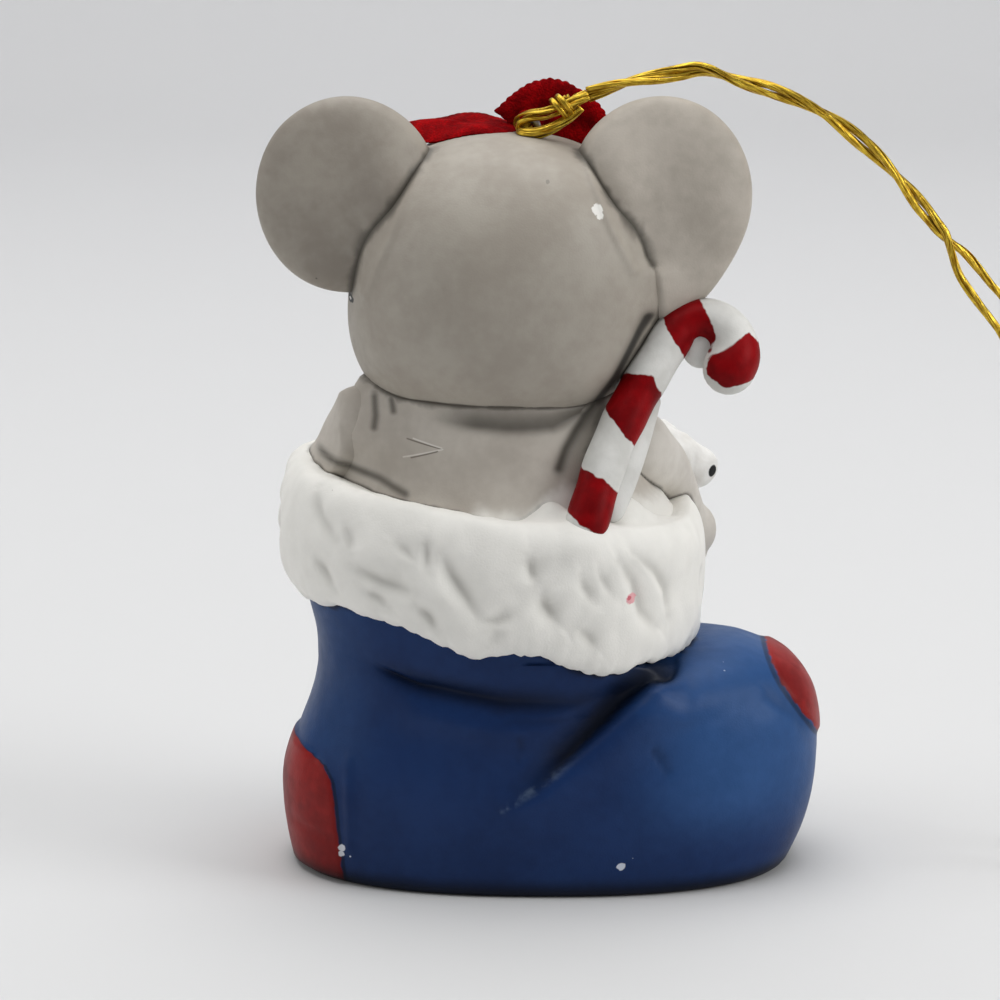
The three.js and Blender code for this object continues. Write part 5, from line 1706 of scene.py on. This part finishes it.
def joined_tubes(tubes):
    """All strands in one skin, with the marks that the foil's streaks follow."""
    points, faces = joined_skins([rings for rings, _ in tubes])
    along_marks, round_marks = [], []
    for rings, along in tubes:
        around = rings.shape[1]
        across = np.cos(round_steps(around))
        along_marks.append(np.append(np.repeat(along, around), [along[0], along[-1]]))
        round_marks.append(np.append(np.tile(across, len(along)), [0.0, 0.0]))
    return points, faces, {"along": np.concatenate(along_marks), "round": np.concatenate(round_marks)}


def cord_piece(gold):
    route = np.vstack([twisted_leg(1), FAR_LEG, np.array(NEAR_LEG)[::-1], twisted_leg(-1)[::-1]])
    path = curve_through(route, 700)
    points, faces, marks = joined_tubes(foil_strands(path, 4, 0.27, wide=0.24, thick=0.12))
    obj = piece("gold_cord", points, faces, gold, "ornament", ["hanging_cord"], marks)


def hitch_piece(gold):
    """The cord's ends drawn through the wire eye, turned back and tucked under a wrap."""
    steps = 70
    axis = unit(WRAP_END - WRAP_START)
    first = unit(np.array([0.0, 1.0, 0.0]) - axis * axis[1])
    second = np.cross(axis, first)
    turn = np.linspace(0, TURN * WRAP_TURNS, steps)
    wrap = WRAP_START + (WRAP_END - WRAP_START) * np.linspace(0, 1, steps)[:, None]
    wrap = wrap + 0.8 * (np.cos(turn)[:, None] * first + 1.25 * np.sin(turn)[:, None] * second)
    tubes = foil_strands(curve_through(HITCH_AWAY, 120), 5, 0.42, 5.0, 0.2)
    tubes += foil_strands(curve_through(HITCH_BACK, 120), 5, 0.4, 11.0, 0.2)
    tubes += foil_strands(wrap, 2, 0.18, 19.0, 0.2)
    points, faces, marks = joined_tubes(tubes)
    piece("gold_hitch", points, faces, gold, "ornament", ["cord_hitch"], marks)


# Wire and clapper

def on_hang(z):
    return np.array([HANG[0], HANG[1], z])


def eye_bend(z, radius, across, start, end, count=40):
    """An arc of wire about a level on the hanging line, in the plane of one direction and up."""
    turn = np.linspace(start, end, count)
    across = np.asarray(across, float)
    upwards = np.array([0.0, 0.0, 1.0])
    return on_hang(z) + radius * (np.cos(turn)[:, None] * across + np.sin(turn)[:, None] * upwards)


def coil_on_shank(low, high, turns=2.2, radius=0.72, count=40):
    turn = np.linspace(0, TURN * turns, count)
    x = HANG[0] + radius * np.cos(turn)
    y = HANG[1] + radius * np.sin(turn)
    return np.column_stack([x, y, np.linspace(low, high, count)])


def shank(low, high, count=30):
    return np.array([on_hang(z) for z in np.linspace(low, high, count)])


def turned(outline, sides):
    """A closed outline of radius and height, turned round the upright axis."""
    turn = round_steps(sides)
    rings = np.array([[(r * math.cos(a), r * math.sin(a), h) for a in turn] for r, h in outline])
    return skin(rings, joined=True)


def wire_piece(steel):
    """The hanger: a small eye above the crown, the shank, and a lower eye whose end is coiled on it."""
    quarter = math.pi / 2
    upper = eye_bend(UPPER_EYE - 0.5, 0.8, (1, 0, 0), -quarter + EYE_OPEN, -quarter + TURN - EYE_OPEN)
    lower = eye_bend(LOWER_EYE, EYE_RADIUS, (1, 0, 0), quarter - EYE_OPEN, quarter - TURN + EYE_OPEN)
    straight = shank(UPPER_EYE - 1.3, LOWER_EYE + EYE_RADIUS)
    tail = coil_on_shank(LOWER_EYE + 2.2, LOWER_EYE + 3.9)
    path = np.vstack([upper[::-1], straight[1:-1], lower[::-1], tail])
    points, faces = skin(domed(path, WIRE, WIRE_SIDES, 3))
    piece("hanger_wire_bent", points, faces, steel, "ornament", ["hanger_wire"])


# The washer and the sleeve as outlines of radius and height
WASHER = [(1.0, 0.1), (1.1, 0.0), (2.9, 0.0), (3.0, 0.1), (3.0, 0.7), (2.9, 0.8), (1.1, 0.8), (1.0, 0.7)]
SLEEVE = [
    (0.45, 0.1), (0.55, 0.0), (1.0, 0.0), (1.1, 0.12), (1.1, 0.9), (0.98, 1.15), (0.98, 1.45), (1.1, 1.7),
    (1.1, 2.48), (1.0, 2.6), (0.55, 2.6), (0.45, 2.5),
]


def washer_pieces(steel):
    """The washer lies tilted against the crown's inside, with the sleeve crimped below it."""
    across, high = HEAD_HALF[0] - WALL, HEAD_HALF[2] - WALL
    tilt = math.atan2(HANG_ASIDE * high, across**2)
    under = HEAD[2] + high * math.sqrt(1 - (HANG_ASIDE / across) ** 2)
    crown_fall = WASHER_RADIUS**2 / (2 * HEAD_HALF[0])
    level = under - WASHER_THICKNESS - crown_fall - SEAM
    points, faces = turned(WASHER, 64)
    cos, sin = math.cos(tilt), math.sin(tilt)
    leaning = points @ np.array([[cos, 0, -sin], [0, 1, 0], [sin, 0, cos]])
    points = leaning + on_hang(level)
    piece("stop_washer_disc", points, faces, steel, "ornament", ["stop_washer"])
    low = level - SLEEVE_LENGTH - math.tan(tilt) * SLEEVE_RADIUS - SEAM
    points, faces = turned(SLEEVE, 48)
    points = points + on_hang(low)
    piece("crimp_sleeve_tube", points, faces, steel, "ornament", ["crimp_sleeve"])


def ring_piece(steel):
    path = eye_bend(RING_Z, RING_RADIUS, (0, 1, 0), EYE_OPEN, TURN - EYE_OPEN, 90)
    points, faces = skin(domed(path, WIRE, WIRE_SIDES, 3))
    piece("swing_ring_bent", points, faces, steel, "ring", ["swing_ring"])


def clapper_wire_piece(steel):
    """An eye whose end is coiled on the shank, and a ball at the foot that holds the bead."""
    quarter = math.pi / 2
    steps, ball_radius = 14, 0.95
    eye = eye_bend(CLAPPER_EYE, EYE_RADIUS, (1, 0, 0), -quarter + EYE_OPEN, -quarter + TURN - EYE_OPEN)
    tail = coil_on_shank(CLAPPER_EYE - 3.9, CLAPPER_EYE - 2.2)
    end = BEAD_Z - BEAD_R - 0.1
    straight = shank(CLAPPER_EYE - EYE_RADIUS, end - 0.1, 40)
    ball_z = np.linspace(0, 1, steps) * 2 * ball_radius
    ball = np.array([on_hang(end - depth) for depth in ball_z])
    path = np.vstack([tail, eye[::-1], straight[1:], ball])
    radius = np.full(len(path), WIRE)
    round_off = np.sqrt(np.clip(1 - (ball_z / ball_radius - 1) ** 2, 0, 1))
    radius[-steps:] = np.maximum(0.12, ball_radius * round_off)
    radius[-steps] = WIRE
    points, faces = skin(tube(path, radius, 16))
    piece("clapper_wire_bent", points, faces, steel, "clapper", ["clapper_wire"])


def bead_piece(wood):
    """A turned bead with two fine tool lines."""
    end = math.asin(BEAD_BORE / BEAD_R)
    tilt = np.linspace(end, math.pi - end, 60)
    reach = BEAD_R - (0.06 * hump(tilt - math.pi / 2, 0.03) + 0.04 * hump(tilt - 1.25, 0.02))
    outline = [(r * math.sin(t), BEAD_Z + r * math.cos(t)) for t, r in zip(tilt, reach)]
    bore = [(BEAD_BORE, BEAD_Z + rise) for rise in (-3.5, 0.0, 3.5)]
    points, faces = turned(outline + bore, 96)
    points = points + on_hang(0.0)
    piece("clapper_bead_turned", points, faces, wood, "clapper", ["clapper_bead"])


# Stage and light, in metres

FLOOR_FRONT = -1.2
CURVE_START = 0.5
CURVE_RADIUS = 0.25
WALL_TOP = 1.4
STAGE_HALF = 1.4
STAGE_COLUMNS = 5


def make_stage():
    """A pale sweep: floor, a wide curve and a wall behind."""
    profile = [(FLOOR_FRONT, 0.0)]
    for bend in np.linspace(0, math.pi / 2, 24):
        rise = CURVE_RADIUS - CURVE_RADIUS * math.cos(bend)
        profile.append((CURVE_START + CURVE_RADIUS * math.sin(bend), rise))
    profile.append((CURVE_START + CURVE_RADIUS, WALL_TOP))
    columns = np.linspace(-STAGE_HALF, STAGE_HALF, STAGE_COLUMNS)
    points = [(x, y, z) for y, z in profile for x in columns]
    faces = []
    for row in range(len(profile) - 1):
        for column in range(STAGE_COLUMNS - 1):
            here = row * STAGE_COLUMNS + column
            above = here + STAGE_COLUMNS
            faces.append([here, here + 1, above + 1, above])
    mesh = bpy.data.meshes.new("sweep")
    mesh.from_pydata(points, [], faces)
    mesh.polygons.foreach_set("use_smooth", np.ones(len(mesh.polygons), bool))
    material, tree, shader = new_material("paper", Specular_IOR_Level=0.1)
    fibre = noise_value(tree, 40.0, 3.0)
    # The paper is painted a little darker towards the back: painted shade.
    depth = add(tree, "ShaderNodeSeparateXYZ", {0: object_place(tree)}).outputs["Y"]
    paper = mixed(tree, stepped(tree, depth, 0.0, 0.5), srgb(211, 211, 211), srgb(207, 207, 208))
    color = coated(tree, paper, fibre, srgb(222, 222, 224), 0.06)
    rough = stepped(tree, fibre, 0.0, 1.0, 0.85, 0.95)
    finish_surface(tree, shader, color, rough, fibre, 0.01)
    mesh.materials.append(material)
    sweep = bpy.data.objects.new("sweep", mesh)
    bpy.context.collection.objects.link(sweep)


def add_lamp(name, place, target, size, power):
    data = bpy.data.lights.new(name, "AREA")
    data.shape = "DISK"
    data.size = size
    data.energy = power
    lamp = bpy.data.objects.new(name, data)
    lamp.location = place
    lamp.rotation_euler = (Vector(target) - Vector(place)).to_track_quat("-Z", "Y").to_euler()
    bpy.context.collection.objects.link(lamp)


def light_stage():
    world = bpy.data.worlds.new("studio")
    world.use_nodes = True
    background = world.node_tree.nodes["Background"]
    background.inputs["Color"].default_value = (0.96, 0.98, 1.0, 1.0)
    background.inputs["Strength"].default_value = 0.2
    bpy.context.scene.world = world
    middle = (0.0, 0.0, 0.04)
    add_lamp("top_softbox", (-0.02, 0.08, 0.75), middle, 0.9, 5.6)
    add_lamp("left_softbox", (-0.62, -0.12, 0.3), middle, 0.4, 0.8)
    add_lamp("right_softbox", (0.62, -0.22, 0.35), middle, 0.4, 2.2)
    add_lamp("back_softbox", (0.0, 0.5, 0.6), (0.0, 0.62, 0.0), 0.5, 0.35)
    bpy.context.scene.view_settings.view_transform = "Standard"


# The making

gold = make_gold_foil()
cord_piece(gold)
hitch_piece(gold)
boot = boot_piece()
cuff = cuff_piece()
torso = torso_piece()
head = head_piece()
left_ear = ear_piece(-1, "left_ear_cast", "left_ear", make_ear_paint("left_ear_paint", SHADED_EAR_GREYS))
right_ear = ear_piece(1, "right_ear_cast", "right_ear", make_ear_paint("right_ear_paint", LIT_EAR_GREYS))
left_arm = arm_piece(-1, "left_arm_cast", "left_arm", make_grey_bisque("left_arm_paint", BODY_GREYS))
right_arm = arm_piece(1, "right_arm_cast", "right_arm", make_grey_bisque("right_arm_paint", LIT_ARM_GREYS))
cane = cane_piece()
toy = toy_piece()
bow_piece()
steel = make_steel()
wire_piece(steel)
washer_pieces(steel)
ring_piece(steel)
clapper_wire_piece(steel)
bead_piece(make_bead_wood())

fillet(torso, head, size=2.4, highest=60.0, strength=0.3)
fillet(torso, left_arm, size=4.6, highest=60.0, strength=0.4)
fillet(left_arm, torso, size=4.6, highest=60.0, strength=0.4)
for sunk in (cuff, left_arm, right_arm, toy):
    clear_hollow(sunk)
mark_creases(torso, TORSO_CREASES)
mark_creases(left_arm, TORSO_CREASES)
fillet(head, right_ear, size=4.0, highest=61.0)
fillet(right_ear, head, size=4.0, highest=61.0)
# Each piece's neighbours, with their weight and the level from which they count: nearness sets the painted
# shade between parts
mark_nearness(head, [(left_ear, 0.8, 0), (right_ear, 0.8, 60), (torso, 3.5, 0), (cane, 0.5, 0),
                     (left_arm, 1.5, 0), (right_arm, 1.5, 0)])
mark_nearness(left_ear, [(head, 1.0, 0)])
mark_nearness(right_ear, [(head, 1.0, 60)])
mark_nearness(torso, [(head, 1.2, 0), (cuff, 2.6, 0), (right_arm, 1.6, 0), (cane, 0.8, 0)])
mark_nearness(left_arm, [(head, 1.2, 0), (cuff, 2.0, 0)])
mark_nearness(right_arm, [(head, 1.2, 0), (cuff, 2.0, 0), (torso, 2.0, 0), (cane, 1.0, 0)])
mark_nearness(cane, [(head, 1.0, 0), (right_ear, 1.0, 0)])
mark_nearness(cuff, [(left_arm, 1.5, 0)])
mark_nearness(toy, [(right_arm, 1.0, 0)])
mark_nearness(boot, [(cuff, 1.0, 0)])

make_stage()
light_stage()
